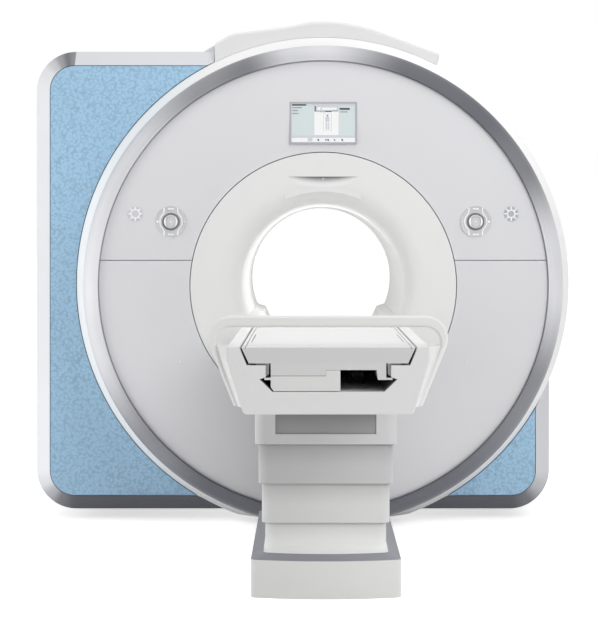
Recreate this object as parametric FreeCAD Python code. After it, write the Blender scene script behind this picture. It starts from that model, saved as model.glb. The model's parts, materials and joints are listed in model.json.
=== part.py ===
import FreeCAD, Part
import math
import os

from FreeCAD import Vector

# Cylindrical magnetic resonance scanner with its patient table.
# Millimetres. The origin is on the floor under the middle of the bore.
# +X is to the viewer's right, +Y runs from the table into the bore, +Z is up.

# ---- gantry: driving dimensions ----
GANTRY_LENGTH = 1730.0     # over both round covers
BORE_R = 350.0             # patient bore
COVER_R = 948.0            # outer radius of the round covers
RING_WIDTH = 68.0          # silver ring round the front cover
RING_DEPTH = 59.0
RING_GAP = 4.0             # groove between cover and ring
DRUM_FLARE = 68.0          # how much the drum widens from the ring to the housing
FLOOR_CUT = 38.0           # how far the drum's circle would dip below the floor
DRUM_FLOOR_GAP = 30.0      # the drum is cut flat above the floor
SKIN = 5.0                 # wall of the moulded covers
SEAM = 3.0                 # open joint between neighbouring covers
HAIR_GAP = 0.4             # butt joint between mouldings of one cover
COVER_CROWN = 19.0         # how far the round cover bulges
COVER_RIM = 50.0           # depth of the rim behind the front plane
FUNNEL_SLOPE = 15.6        # lean of the funnel's face, in degrees
CROWN_STEPS = 4            # chords in the cover's bulge
EDGE_STEPS = 4             # chords in the rounded edge of ring and rear cover
DRUM_STEPS = 3             # chords in the drum's flare
THROAT_STEPS = 5           # chords in the funnel's throat

FRONT = -GANTRY_LENGTH / 2
RING_IN_R = COVER_R + RING_GAP
RING_R = RING_IN_R + RING_WIDTH
DRUM_R = RING_R + DRUM_FLARE
AXIS_Z = DRUM_R - FLOOR_CUT        # height of the bore axis
SPLIT_Z = AXIS_Z + 107             # joint between the upper and lower front cover
FUNNEL_R = 0.593 * COVER_R         # outer radius of each funnel

# ---- magnet ----
VESSEL_R = DRUM_R - 163
VESSEL_BORE_R = BORE_R + 100
VESSEL_HALF = GANTRY_LENGTH / 2 - 90
BORE_HALF = VESSEL_HALF - 85       # half the straight length of the bore
GRADIENT_HALF = VESSEL_HALF - 135
COIL_R = BORE_R + 16               # joint between body coil and gradient coil
COIL_HALF = 330.0
COIL_RUNGS = 12
VESSEL_FLOOR = AXIS_Z - VESSEL_R
FOOT_HALF = 270.0                  # half the width of the magnet's base frame
FOOT_PLATE = 25.0
FOOT_SPAN_X = 460.0                # anchor holes across the frame
SADDLE_HALF = 520.0
SADDLE_DEPTH = 90.0
ANCHOR_R = 9.0
COLD_HEAD_Y = 150.0
NECK_TOP = 100.0                   # flange of the refrigerator above the vessel

# ---- housing behind the drum ----
HOUSING_LEFT = -DRUM_R - 185
HOUSING_RIGHT = DRUM_R - 79
HOUSING_TOP = AXIS_Z + DRUM_R - 58
HOUSING_BOTTOM = 45.0
HOUSING_CORNER = 177.0
HOUSING_BACK = VESSEL_HALF - 270
HOUSING_FRONT = -HOUSING_BACK      # plane of the side panels
FOOT_SPAN_Y = 2 * HOUSING_BACK - 50    # between the two saddles
FRAME_WIDTH = 66.0                 # bevelled frame round the side panels
FRAME_BEVEL = 58.0                 # how far the bevel falls back
FRAME_DEPTH = 108.0
PANEL_WALL = 5.0
PANEL_LIP = 24.0                   # ledge that a side panel seats on
FLANGE_Y = HOUSING_FRONT - 55      # flange of the drum, seated on the magnet
FLANGE_STEP = 25.0                 # how far the flange stands inside the drum
TURRET_LEFT = -479.0
TURRET_RIGHT = 519.0
TURRET_SHOULDER_Z = HOUSING_TOP + 76
TURRET_PEAK_Z = TURRET_SHOULDER_Z + 53
TURRET_SKIRT = 166.0               # sides of the turret, down to the drum
TURRET_EDGE = 14.0
FAIRING_LEFT = TURRET_LEFT - 52    # small slope where the frame rises to the turret
FAIRING_RISE = 28.0
HATCH_HALF = 175.0                 # opening over the refrigerator

# ---- controls on the front cover ----
SCREEN_WIDTH = 283.0
SCREEN_HEIGHT = 177.0
SCREEN_Z = AXIS_Z + (FUNNEL_R + COVER_R) / 2 - 69
SCREEN_RIM = 7.0
DIAL_X = COVER_R - 305
DIAL_Z = AXIS_Z + 270
DISH_R = 65.0
DISH_SINK = 8.0                    # depth of the dish behind the front plane
DIAL_WELL_R = 0.57 * DISH_R
DIAL_R = DIAL_WELL_R - 8
CAP_R = DIAL_R - 10
SHAFT_R = 8.0
STEM_R = 4.0
SLOT_Z = 0.83 * DISH_R             # up and down keys above and below the dial
SLOT_HALF = 0.2 * DISH_R
SLOT_HIGH = 7.0
KEY_X = COVER_R - 155
KEY_Z = AXIS_Z + 303
KEY_R = 31.0
SCREW_X = COVER_R - 343            # capped screws of the lower cover
SCREW_Z = AXIS_Z - 322
SCREW_R = 7.0
BROW_Z = AXIS_Z + (BORE_R + FUNNEL_R) / 2 + 6
BROW_HALF = 153.0
BROW_SINK = 15.0                   # depth of the scoop under its straight upper edge
LENS_R = 5.0                       # positioning light in the scoop
RUN_FIT = 0.05                     # radial clearance of a shaft that turns or slides
KEY_GAP = 0.4                      # all round a push key
CUT_PAST = 5.0                     # how far a cutter starts in front of the cover

# ---- table: driving dimensions ----
TABLE_LENGTH = 1980.0
TABLE_FAR = FRONT - 100            # end beside the gantry
TABLE_NEAR = TABLE_FAR - TABLE_LENGTH
TABLETOP_FAR = TABLE_FAR - 35
TABLETOP_DROP = 125.0              # tabletop below the bore axis
TABLETOP_MARGIN = 62.4             # from the tabletop's edge to the bore wall
TABLETOP_Z = AXIS_Z - TABLETOP_DROP
TABLETOP_HALF = math.sqrt(BORE_R ** 2 - TABLETOP_DROP ** 2) - TABLETOP_MARGIN
TABLETOP_FLANK = 23.0              # how far the board draws in to its underside
TABLETOP_THICK = 49.0
TABLETOP_GAP = 6.0                 # gap between tabletop and table shell
SLIDE_TRAVEL = 1700.0
TABLE_SKIN = 6.0
GLIDE_GAP = 0.3                    # between the board and its rails
TABLETOP_LOW_HALF = TABLETOP_HALF - TABLETOP_FLANK
TABLETOP_UNDER = TABLETOP_Z - TABLETOP_THICK
TABLE_HALF = TABLETOP_HALF + 42.5
TABLE_LOW_HALF = TABLE_HALF - 49
TABLE_BOTTOM = TABLETOP_Z - 204
TABLE_KNEE_Z = TABLETOP_Z - 44
STEM_HALF = TABLETOP_LOW_HALF - 66.5
STEM_Z = TABLETOP_Z - 69           # underside of the carrier deck
DECK_STEP_Z = STEM_Z - 17          # the deck is thicker over the left part
LEG_Z = TABLETOP_Z - 99            # underside of the carrier legs
LEG_WIDTH = 25.0
HOOK_REACH = STEM_HALF + 19
HOOK_THICK = 6.0
CHANNEL_FLOOR = TABLETOP_Z - 135
CHANNEL_WALL = 8.0
END_CAP = 30.0
GROOVE_INSET = 12.5                # drain groove from the board's edge
SLOT_INSET = 23.5                  # strap slots from the board's edge
STRAP_SLOT = 425.0
STRAP_STARTS = (242.0, 1095.0)

# ---- handle loop ----
LOOP_Y = TABLE_NEAR + 80
LOOP_TOP = TABLETOP_Z + 92
LOOP_FOOT_HALF = TABLE_LOW_HALF + 32
LOOP_FOOT_Z = TABLE_BOTTOM + 20
LOOP_SPREAD = 0.4                  # outward run of the legs for each step up
LOOP_CORNER = 69.0
LOOP_BAR = 35.0
LOOP_SIDE = 20.0
LOOP_DEPTH = 40.0
LOOP_EDGE = 6.0

# ---- drive of the tabletop ----
PULLEY_R = 22.0
PULLEY_Z = CHANNEL_FLOOR + 30
PULLEY_X = STEM_HALF - 82
PULLEY_NEAR = TABLE_NEAR + 300
PULLEY_FAR = TABLE_FAR - 40
PULLEY_RIM = 5.0
PULLEY_SHAFT_R = 6.0
BELT_WIDTH = 26.0
BELT_WALL = 3.0
BELT_GAP = 0.3
CHEEK = 8.0
CHEEK_GAP = 4.0
CARRIAGE_LENGTH = 300.0
CARRIAGE_RIGHT = PULLEY_X - 57
CARRIAGE_STEP = CARRIAGE_RIGHT - 43.5

# ---- pedestal ----
PLINTH_FAR = TABLE_FAR - 85
PLINTH_NEAR = PLINTH_FAR - 1125
COLUMN_HALF = TABLE_LOW_HALF - 7
PLINTH_HALF = COLUMN_HALF + 12.5
PLINTH_HEIGHT = 132.0
PLINTH_BOW = 33.0
PLINTH_CORNER = 28.0
TRIM_WIDTH = 43.0
TRIM_RISE = 18.0
COLUMN_NEAR = PLINTH_NEAR + 100
COLUMN_FAR = PLINTH_FAR - 100
COLUMN_CORNER = 34.0
COLUMN_STEP = 12.0                 # each sleeve is this much smaller all round
SLEEVE_SKIN = 5.0
SLEEVE_TOP = 195.0                 # depth of the top sleeve under the table
SLEEVE_BASE = 95.5                 # height that the fixed sleeve shows with the table up
SLEEVE_SHOWN = (TABLE_BOTTOM - SLEEVE_TOP - PLINTH_HEIGHT - TRIM_RISE - SLEEVE_BASE) / 2
SLEEVE_HEIGHT = SLEEVE_SHOWN + 50
SLEEVE_EDGES = [TABLE_BOTTOM - SLEEVE_TOP - i * SLEEVE_SHOWN for i in range(3)]    # top sleeve first
SLEEVE_FOOT = 12.0                 # flare at the foot of the fixed sleeve
WINDOW_HALF = COLUMN_HALF - 73     # window in the top sleeve
WINDOW_SILL = 36.0
WINDOW_SINK = 50.0                 # dark panel behind the window
LIFT_SPACING = 500.0
LIFT_TRAVEL = 370.0
RAM_R = 50.0
STAGE_R = 62.0
BARREL_R = 72.0
BARREL_FLANGE = 26.0
BASE_PLATE = 20.0
BARREL_TOP = 325.0
BARREL_FLOOR = 12.0
STAGE_LENGTH = 290.0
STAGE_FLOOR = 10.0
STAGE_REST = 6.0                   # room under the stage when the lift is down

AXIS = Vector(0, 0, AXIS_Z)
ALONG_Y = Vector(0, 1, 0)


# ---- drawing helpers ----

def outline(path, place):
    """Closed face along a path of corners. A pair of corners is an arc: through the first, to the second."""
    edges = []
    here = path[0]
    for step in path[1:] + [path[0]]:
        if isinstance(step[0], tuple):
            through, end = step
            edges.append(Part.Arc(place(*here), place(*through), place(*end)).toShape())
        else:
            end = step
            if math.dist(here, end) > 1e-6:
                edges.append(Part.LineSegment(place(*here), place(*end)).toShape())
        here = end
    return Part.Face(Part.Wire(edges))


def turned(path):
    """Solid turned about the bore axis from a path of (radius, y)."""
    face = outline(path, lambda r, y: Vector(r, y, AXIS_Z))
    return face.revolve(AXIS, ALONG_Y, 360)


def turned_at(x, z, path):
    """Solid turned about a line along Y through (x, z)."""
    face = outline(path, lambda r, y: Vector(x + r, y, z))
    return face.revolve(Vector(x, 0, z), ALONG_Y, 360)


def along_y(path, y0, y1):
    """Prism along Y of a path of (x, z)."""
    return outline(path, lambda x, z: Vector(x, y0, z)).extrude(Vector(0, y1 - y0, 0))


def upright(path, z0, z1):
    """Prism along Z of a path of (x, y)."""
    return outline(path, lambda x, y: Vector(x, y, z0)).extrude(Vector(0, 0, z1 - z0))


def block(x0, x1, y0, y1, z0, z1):
    return Part.makeBox(x1 - x0, y1 - y0, z1 - z0, Vector(x0, y0, z0))


def rod_y(x, z, r, y0, y1):
    return Part.makeCylinder(r, y1 - y0, Vector(x, y0, z), ALONG_Y)


def rod_x(y, z, r, x0, x1):
    return Part.makeCylinder(r, x1 - x0, Vector(x0, y, z), Vector(1, 0, 0))


def rod_z(x, y, r, z0, z1):
    return Part.makeCylinder(r, z1 - z0, Vector(x, y, z0))


def eased(corners):
    """Path of corners (a, b, radius), each rounded by an arc that is tangent to both sides."""
    path = []
    for i, (a, b, r) in enumerate(corners):
        if r == 0:
            path.append((a, b))
            continue
        before = corners[i - 1]
        after = corners[(i + 1) % len(corners)]
        u = Vector(before[0] - a, before[1] - b, 0).normalize()
        v = Vector(after[0] - a, after[1] - b, 0).normalize()
        half_angle = u.getAngle(v) / 2
        reach = r / math.tan(half_angle)
        deep = r / math.sin(half_angle) - r
        inward = (u + v).normalize()
        start = (a + u.x * reach, b + u.y * reach)
        through = (a + inward.x * deep, b + inward.y * deep)
        end = (a + v.x * reach, b + v.y * reach)
        path += [start, (through, end)]
    return path


def bowed(start, through, end, steps):
    """Points after the start along the arc through three points, joined by chords."""
    arc = Part.Arc(Vector(*start, 0), Vector(*through, 0), Vector(*end, 0)).toShape()
    points = arc.discretize(Number=steps + 1)
    return [(p.x, p.y) for p in points[1:]]


def rounded(a0, a1, b0, b1, r):
    """Path of a rectangle with round corners."""
    return eased([(a0, b0, r), (a1, b0, r), (a1, b1, r), (a0, b1, r)])


def mirrored_x(half):
    """Corners of a symmetric outline from those of its right half."""
    return half + [(-corner[0],) + tuple(corner[1:]) for corner in reversed(half)]


def mirror_y(shape):
    return shape.mirror(Vector(0, 0, 0), ALONG_Y)


def mirror_x(shape):
    return shape.mirror(Vector(0, 0, 0), Vector(1, 0, 0))


def chamfered(shape, size, wanted):
    """Shape with a chamfer on the edges whose middle point passes the test."""
    edges = [e for e in shape.Edges if wanted(e.valueAt((e.FirstParameter + e.LastParameter) / 2))]
    return shape.makeChamfer(size, edges)


def softened(shape, r, wanted):
    """Shape with a fillet on the edges whose middle point passes the test."""
    edges = [e for e in shape.Edges if wanted(e, e.valueAt((e.FirstParameter + e.LastParameter) / 2))]
    return shape.makeFillet(r, edges) if edges else shape


# ---- gantry covers ----

def cover_y(r):
    """Depth of the round cover's outer face at a radius, on one arc."""
    middle = (FUNNEL_R + COVER_R) / 2
    reach = (COVER_R - FUNNEL_R) / 2
    return FRONT + COVER_CROWN * ((r - middle) / reach) ** 2


def crown(inner, outer, set_back):
    """Chords along the round cover's face from an inner to an outer radius."""
    middle = (inner + outer) / 2
    start = (inner, cover_y(inner) + set_back)
    through = (middle, cover_y(middle) + set_back)
    end = (outer, cover_y(outer) + set_back)
    return [start] + bowed(start, through, end, CROWN_STEPS)


def cover_path():
    inner = FUNNEL_R + SEAM
    rim_y = FRONT + COVER_RIM
    face = crown(inner, COVER_R, 0)
    inside = crown(inner + SKIN, COVER_R - SKIN, SKIN)[::-1]
    return face + [(COVER_R, rim_y), (COVER_R - SKIN, rim_y)] + inside + [
        (inner + SKIN, -VESSEL_HALF), (inner, -VESSEL_HALF),
    ]


def half_space(above, z):
    """Large block on one side of a level, to split a cover."""
    reach = 2 * DRUM_R
    return block(-reach, reach, -reach, reach, z if above else -reach, AXIS_Z + reach if above else z)


def front_cover_upper():
    """Upper part of the front cover, with openings for the screen, the dials and the round keys."""
    cover = turned(cover_path()).common(half_space(True, SPLIT_Z + SEAM / 2))
    w = SCREEN_WIDTH / 2
    h = SCREEN_HEIGHT / 2
    cover = cover.cut(block(-w, w, FRONT - CUT_PAST, FRONT + COVER_RIM, SCREEN_Z - h, SCREEN_Z + h))
    for side in (-1, 1):
        for x, z, r in ((DIAL_X, DIAL_Z, DISH_R), (KEY_X, KEY_Z, KEY_R + KEY_GAP)):
            cover = cover.cut(rod_y(side * x, z, r, FRONT - CUT_PAST, FRONT + COVER_RIM))
    return cover


def front_cover_lower():
    cover = turned(cover_path()).common(half_space(False, SPLIT_Z - SEAM / 2))
    for x in (-SCREW_X, SCREW_X):
        cover = cover.cut(rod_y(x, SCREW_Z, SCREW_R, FRONT - CUT_PAST, FRONT + COVER_RIM))
    return cover


def cover_screws():
    """Two low caps on shanks that run back to the magnet."""
    face = cover_y(math.hypot(SCREW_X, SCREW_Z - AXIS_Z)) - 1.5
    screws = [turned_at(x, SCREW_Z, [
        (0, face), (SCREW_R - 2, face), (SCREW_R - 0.5, face + 1.5), (SCREW_R - 0.5, face + 12),
        (SCREW_R / 2, face + 12), (SCREW_R / 2, -VESSEL_HALF), (0, -VESSEL_HALF),
    ]) for x in (-SCREW_X, SCREW_X)]
    return Part.makeCompound(screws)


def ring_path():
    """Rounded outer edge of the drum, a wall that stands on two rims."""
    back = FRONT + RING_DEPTH
    mouth = (RING_IN_R, FRONT + 3)
    round_edge = bowed(mouth, (RING_R - 24, FRONT + 16), (RING_R, back), EDGE_STEPS)
    inside = (RING_IN_R + SKIN, FRONT + 3 + SKIN)
    return [mouth] + round_edge + [
        (RING_R - SKIN, back), (RING_R - 27.5, FRONT + 20), inside,
        (RING_IN_R + SKIN, back + SEAM), (RING_IN_R, back + SEAM),
    ]


def drum_path():
    """Drum shell that widens towards the housing, with a flange that seats on the magnet."""
    start = FRONT + RING_DEPTH + SEAM
    end = HOUSING_FRONT + FRAME_DEPTH
    lip = (RING_R - 8, start)
    shoulder = (DRUM_R, HOUSING_FRONT + SEAM)
    waist_r = RING_R + 22
    waist_y = (lip[1] + shoulder[1]) / 2
    return [(RING_IN_R, start), lip] + bowed(lip, (waist_r, waist_y), shoulder, DRUM_STEPS) + [
        (DRUM_R, end),
        (DRUM_R - SKIN, end),
        (DRUM_R - SKIN, shoulder[1] + 1),
        (DRUM_R - FLANGE_STEP + SKIN, FLANGE_Y + SKIN),
        (VESSEL_R, FLANGE_Y + SKIN),
        (VESSEL_R, FLANGE_Y),
        (DRUM_R - FLANGE_STEP, FLANGE_Y),
        (waist_r - SKIN - 3, waist_y),
        (lip[0] - SKIN, start + SKIN),
        (RING_IN_R, start + SKIN),
    ]


def above_floor(shape):
    return shape.common(half_space(True, DRUM_FLOOR_GAP))


def front_drum():
    return above_floor(turned(drum_path()))


def rear_cover_path():
    """Rear round cover with its rim in one piece, drawn at the front and mirrored."""
    inner = FUNNEL_R + SEAM
    back = FRONT + RING_DEPTH + SEAM
    edge = (COVER_R, cover_y(COVER_R))
    rim = bowed(edge, (RING_R - 20, FRONT + 28), (RING_R, back), EDGE_STEPS - 1)
    inside = crown(inner + SKIN, COVER_R - SKIN, SKIN)[::-1]
    return crown(inner, COVER_R, 0) + rim + [(RING_R - SKIN, back), (RING_R - 25, FRONT + 32)] + inside + [
        (inner + SKIN, -VESSEL_HALF), (inner, -VESSEL_HALF),
    ]


def funnel_path():
    """Cone from the cover, then a rounded throat that runs into the bore."""
    slope = math.radians(FUNNEL_SLOPE)
    turn = math.pi / 2 - slope
    mouth = cover_y(FUNNEL_R)
    corner_y = mouth + (FUNNEL_R - BORE_R) * math.tan(slope)
    throat_r = (-BORE_HALF - corner_y) / math.tan(turn / 2)
    middle = (BORE_R + throat_r, -BORE_HALF)

    def throat(radius, steps):
        angles = [turn * (1 - i / steps) for i in range(steps + 1)]
        return [(middle[0] - radius * math.cos(a), middle[1] - radius * math.sin(a)) for a in angles]

    rim = FUNNEL_R - SKIN
    rim_y = mouth + SKIN / math.cos(slope) + SKIN * math.tan(slope)
    front = throat(throat_r, THROAT_STEPS)
    back = throat(throat_r - SKIN, THROAT_STEPS)[::-1]
    return [(FUNNEL_R, mouth)] + front + back + [(rim, rim_y), (rim, -VESSEL_HALF), (FUNNEL_R, -VESSEL_HALF)]


def quartered(shape):
    """Shape parted into four mouldings that butt on the two diagonals through the bore axis."""
    reach = COVER_R + DRUM_R
    gap = HAIR_GAP / 2
    for angle in (45, 135):
        joint = block(-reach, reach, 2 * FRONT, -2 * FRONT, AXIS_Z - gap, AXIS_Z + gap)
        joint.rotate(AXIS, ALONG_Y, angle)
        shape = shape.cut(joint)
    return shape


def cone_y(radius):
    """Plane in which the funnel's cone has this radius."""
    return cover_y(FUNNEL_R) + (FUNNEL_R - radius) * math.tan(math.radians(FUNNEL_SLOPE))


def brow_floor_y():
    """Deepest plane of the scoop, along its upright middle line."""
    return cone_y(BROW_Z - AXIS_Z) + BROW_SINK


def brow_run_out():
    """How far below its straight edge the scoop meets the cone again."""
    return BROW_SINK / math.tan(math.radians(FUNNEL_SLOPE))


def brow_scoop():
    """Upright cylinder that hollows the cone below a straight edge and runs out at both of its ends."""
    end_y = cone_y(math.hypot(BROW_HALF, BROW_Z - AXIS_Z))
    rise = brow_floor_y() - end_y
    radius = (BROW_HALF ** 2 + rise ** 2) / (2 * rise)
    return rod_z(0, brow_floor_y() - radius, radius, BROW_Z - brow_run_out() - BROW_SINK, BROW_Z)


def brow_backing():
    """Thicker patch of the cone that the scoop is cut into."""
    margin = 2 * SKIN
    low = BROW_Z - AXIS_Z - brow_run_out() - margin
    high = math.hypot(BROW_HALF, BROW_Z - AXIS_Z) + margin
    front = SKIN / 2
    back = BROW_SINK + SKIN
    band = turned([
        (low, cone_y(low) + front), (high, cone_y(high) + front),
        (high, cone_y(high) + back), (low, cone_y(low) + back),
    ])
    half = BROW_HALF + margin
    return band.common(block(-half, half, FRONT, -VESSEL_HALF, AXIS_Z, BROW_Z + margin))


def lens_rod(y0, y1):
    return rod_y(0, BROW_Z - 2 * LENS_R, LENS_R, brow_floor_y() + y0, brow_floor_y() + y1)


def front_funnel():
    """Four mouldings; the top one has the scoop with the seat of the positioning light."""
    funnel = turned(funnel_path()).fuse(brow_backing()).cut(brow_scoop())
    return quartered(funnel.cut(lens_rod(-1, SKIN - 1)).removeSplitter())


def brow_light():
    """Round lens of the positioning light, a millimetre below the scoop's surface."""
    return lens_rod(1, SKIN - 1)


def bore_liner():
    """Bore tube with a locating rib on each side of the body coil."""
    outer = BORE_R + SKIN
    rib_r = outer + 7
    start = COIL_HALF + 32
    end = start + 8
    half = [
        (outer, start), (rib_r, start), (rib_r, end), (outer, end), (outer, BORE_HALF), (BORE_R, BORE_HALF),
    ]
    return turned([(r, -y) for r, y in reversed(half)] + half)


def bore_bridge():
    """Rail bed that fills the lower part of the bore; its ledges match the tabletop."""
    ledge_z = TABLETOP_Z - 10
    ledge_x = math.sqrt(BORE_R ** 2 - (AXIS_Z - ledge_z) ** 2)
    side_gap = 17.5
    rail_in = STEM_HALF - LEG_WIDTH
    rail_out = rail_in + 16
    rail_top = LEG_Z - 0.5
    bed = CHANNEL_FLOOR + 10
    shoulder = STEM_Z - 5
    wall = HOOK_REACH + 15
    half = [
        (ledge_x, ledge_z), (TABLETOP_HALF + side_gap, ledge_z - 13),
        (TABLETOP_LOW_HALF + side_gap, shoulder), (wall, shoulder), (wall, bed),
        (rail_out, bed), (rail_out, rail_top), (rail_in, rail_top), (rail_in, bed),
    ]
    path = half + [(-x, z) for x, z in reversed(half)] + [((0, AXIS_Z - BORE_R), half[0])]
    return along_y(path, -BORE_HALF + 2, BORE_HALF - 2)


# ---- housing ----

def housing_path(inset):
    x0 = HOUSING_LEFT + inset
    x1 = HOUSING_RIGHT - inset
    return rounded(x0, x1, HOUSING_BOTTOM + inset, HOUSING_TOP - inset, HOUSING_CORNER - inset)


def bevelled_tray(inset, y0, depth):
    """Housing outline with its front edge bevelled, as a solid."""
    low = outline(housing_path(inset), lambda x, z: Vector(x, y0 + FRAME_BEVEL, z))
    top = outline(housing_path(FRAME_WIDTH), lambda x, z: Vector(x, y0, z))
    sides = low.extrude(Vector(0, depth - FRAME_BEVEL, 0))
    nose = Part.makeLoft([top.OuterWire, low.OuterWire], True, True)
    return nose.fuse(sides)


def drum_room(gap):
    return rod_y(0, AXIS_Z, DRUM_R + gap, FRONT, -FRONT)


def left_part(shape):
    """Left wing: left of the turret above the axis, and of the drum below it."""
    keep = block(2 * HOUSING_LEFT, TURRET_LEFT - SEAM, FRONT, -FRONT, AXIS_Z, 2 * HOUSING_TOP)
    keep = keep.fuse(block(2 * HOUSING_LEFT, 0, FRONT, -FRONT, 0, AXIS_Z))
    return shape.common(keep)


def right_part(shape):
    """Right wing, which ends below the axis."""
    return shape.common(block(0, 2 * HOUSING_RIGHT, FRONT, -FRONT, 0, AXIS_Z))


def wing_frame():
    """Hollow bevelled frame with a ledge for the side panel, before it is split in two."""
    outer = bevelled_tray(0, HOUSING_FRONT, FRAME_DEPTH)
    hollow = bevelled_tray(SKIN, HOUSING_FRONT + PANEL_WALL + SKIN, FRAME_DEPTH)
    pocket = along_y(housing_path(FRAME_WIDTH), HOUSING_FRONT - 1, HOUSING_FRONT + PANEL_WALL)
    window = along_y(housing_path(FRAME_WIDTH + PANEL_LIP), HOUSING_FRONT - 1, HOUSING_FRONT + 40)
    return outer.cut(hollow).cut(pocket).cut(window).cut(drum_room(SEAM))


def turret_fairing():
    """Small slope where the frame rises to the turret."""
    seam_x = TURRET_LEFT - SEAM
    path = [(FAIRING_LEFT, HOUSING_TOP), (seam_x, HOUSING_TOP + FAIRING_RISE), (seam_x, HOUSING_TOP)]
    return along_y(path, HOUSING_FRONT + FRAME_BEVEL, HOUSING_FRONT + FRAME_DEPTH)


def wing_frame_left():
    return left_part(wing_frame()).fuse(turret_fairing()).removeSplitter()


def wing_frame_right():
    return right_part(wing_frame())


def side_panel():
    path = housing_path(FRAME_WIDTH + SEAM)
    panel = along_y(path, HOUSING_FRONT, HOUSING_FRONT + PANEL_WALL)
    return panel.cut(drum_room(SEAM))


def rear_wing():
    """Rear cover of the housing, bevelled like the front frame but closed."""
    outer = bevelled_tray(0, HOUSING_FRONT, FRAME_DEPTH)
    hollow = bevelled_tray(SKIN, HOUSING_FRONT + SKIN, FRAME_DEPTH)
    return mirror_y(outer.cut(hollow).cut(drum_room(SEAM)))


def housing_band():
    """Side wall of the housing: the two wings and the drum between them, open at the bottom."""
    y0 = HOUSING_FRONT + FRAME_DEPTH
    y1 = HOUSING_BACK - FRAME_DEPTH

    def body(inset):
        box = along_y(housing_path(inset), y0, y1)
        box = box.cut(block(0, 2 * HOUSING_RIGHT, y0, y1, AXIS_Z, 2 * HOUSING_TOP))
        return box.fuse(rod_y(0, AXIS_Z, DRUM_R - inset, y0, y1)).removeSplitter()

    band = body(0).cut(body(SKIN))
    edge = HOUSING_CORNER + 40
    band = band.cut(block(HOUSING_LEFT + edge, HOUSING_RIGHT - edge, y0, y1, -DRUM_R, AXIS_Z / 2))
    hatch_y = (COLD_HEAD_Y - HATCH_HALF, COLD_HEAD_Y + HATCH_HALF)
    return band.cut(block(-HATCH_HALF, HATCH_HALF, *hatch_y, HOUSING_TOP, 2 * HOUSING_TOP))


def turret_path(inset):
    """Low roof line of the turret: flat crown, long slope to the right, step down to the left."""
    left = TURRET_LEFT + inset
    right = TURRET_RIGHT - inset
    peak = TURRET_PEAK_Z - inset
    shoulder = TURRET_SHOULDER_Z - inset
    foot_z = TURRET_SHOULDER_Z - TURRET_SKIRT
    return eased([
        (left, foot_z, 0), (left, shoulder - 45, 25 - inset), (left + 77, shoulder, 100),
        (left + 335, shoulder + 33, 400), (left + 423, peak, 250), (left + 542, peak, 400),
        (left + 674, peak - 24, 700), (right, peak - 144, 15 - inset), (right - 14, peak - 199, 0),
        (right - 14, foot_z, 0),
    ])


def turret_cover():
    """Roof shell that stands on the drum and on the top of the left wing."""
    y0 = HOUSING_FRONT
    y1 = HOUSING_BACK - FRAME_DEPTH
    foot_z = TURRET_SHOULDER_Z - TURRET_SKIRT + SKIN
    shell = softened(
        along_y(turret_path(0), y0, y1), TURRET_EDGE,
        lambda e, p: p.z > foot_z and (abs(p.y - y0) < 1 or abs(p.y - y1) < 1),
    )
    shell = shell.cut(along_y(turret_path(SKIN), y0 + SKIN, y1 - SKIN))
    shell = shell.cut(drum_room(0))
    return shell.cut(block(2 * TURRET_LEFT, 0, HOUSING_FRONT + FRAME_DEPTH, -FRONT, AXIS_Z, HOUSING_TOP))


# ---- magnet ----

def magnet_vessel():
    """Closed cryostat with two stiffening bands and a neck for the refrigerator."""
    edge = 45.0
    band = 10.0
    band_y = FOOT_SPAN_Y / 2 - 2 * SADDLE_DEPTH
    corner = (VESSEL_R - edge, -VESSEL_HALF)
    side = (VESSEL_R, edge - VESSEL_HALF)
    through = (VESSEL_R - 0.3 * edge, 0.3 * edge - VESSEL_HALF)
    front_half = [(VESSEL_BORE_R, -VESSEL_HALF), corner] + bowed(corner, through, side, 2) + [
        (VESSEL_R, -band_y), (VESSEL_R + band, -band_y),
        (VESSEL_R + band, 4 * band - band_y), (VESSEL_R, 4 * band - band_y),
    ]
    path = front_half + [(r, -y) for r, y in reversed(front_half)]
    top = AXIS_Z + VESSEL_R
    flange_z = top + NECK_TOP - 20
    neck = rod_z(0, COLD_HEAD_Y, 130, top - 60, flange_z)
    flange = rod_z(0, COLD_HEAD_Y, HATCH_HALF - 10, flange_z, top + NECK_TOP)
    return turned(path).fuse([neck, flange]).removeSplitter()


def cold_head():
    """Refrigerator drive that stands on the neck of the vessel."""
    foot = AXIS_Z + VESSEL_R + NECK_TOP
    base = rod_z(0, COLD_HEAD_Y, 95, foot, foot + 16)
    drum = rod_z(0, COLD_HEAD_Y, 62, foot + 16, foot + 84)
    motor = rod_y(70, foot + 50, 30, COLD_HEAD_Y - 45, COLD_HEAD_Y + 45)
    return base.fuse([drum, motor]).removeSplitter()


def magnet_cradle():
    """Base frame with a front and a rear saddle and four anchor holes."""
    half_y = FOOT_SPAN_Y / 2
    saddle_r = DRUM_R - 20
    border = 80.0
    rail_in = FOOT_HALF - border
    frame = block(-FOOT_HALF, FOOT_HALF, -half_y - border, half_y + border, 0, FOOT_PLATE)
    frame = frame.cut(block(-rail_in, rail_in, border - half_y, half_y - border, -1, FOOT_PLATE + 1))
    for y in (-half_y, half_y):
        y0 = y - SADDLE_DEPTH / 2
        y1 = y + SADDLE_DEPTH / 2
        web = rod_y(0, AXIS_Z, saddle_r, y0, y1).cut(rod_y(0, AXIS_Z, VESSEL_R, y0 - 1, y1 + 1))
        web = web.common(block(-SADDLE_HALF, SADDLE_HALF, y0, y1, FOOT_PLATE, AXIS_Z))
        relief = along_y(rounded(-rail_in, rail_in, FOOT_PLATE + 20, VESSEL_FLOOR - 15, 15), y0, y1)
        frame = frame.fuse(web.cut(relief))
        hole_y = y + math.copysign(SADDLE_DEPTH / 2 + 17, y)
        for x in (-FOOT_SPAN_X / 2, FOOT_SPAN_X / 2):
            frame = frame.cut(rod_z(x, hole_y, ANCHOR_R, -1, FOOT_PLATE + 1))
    return frame.removeSplitter()


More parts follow.
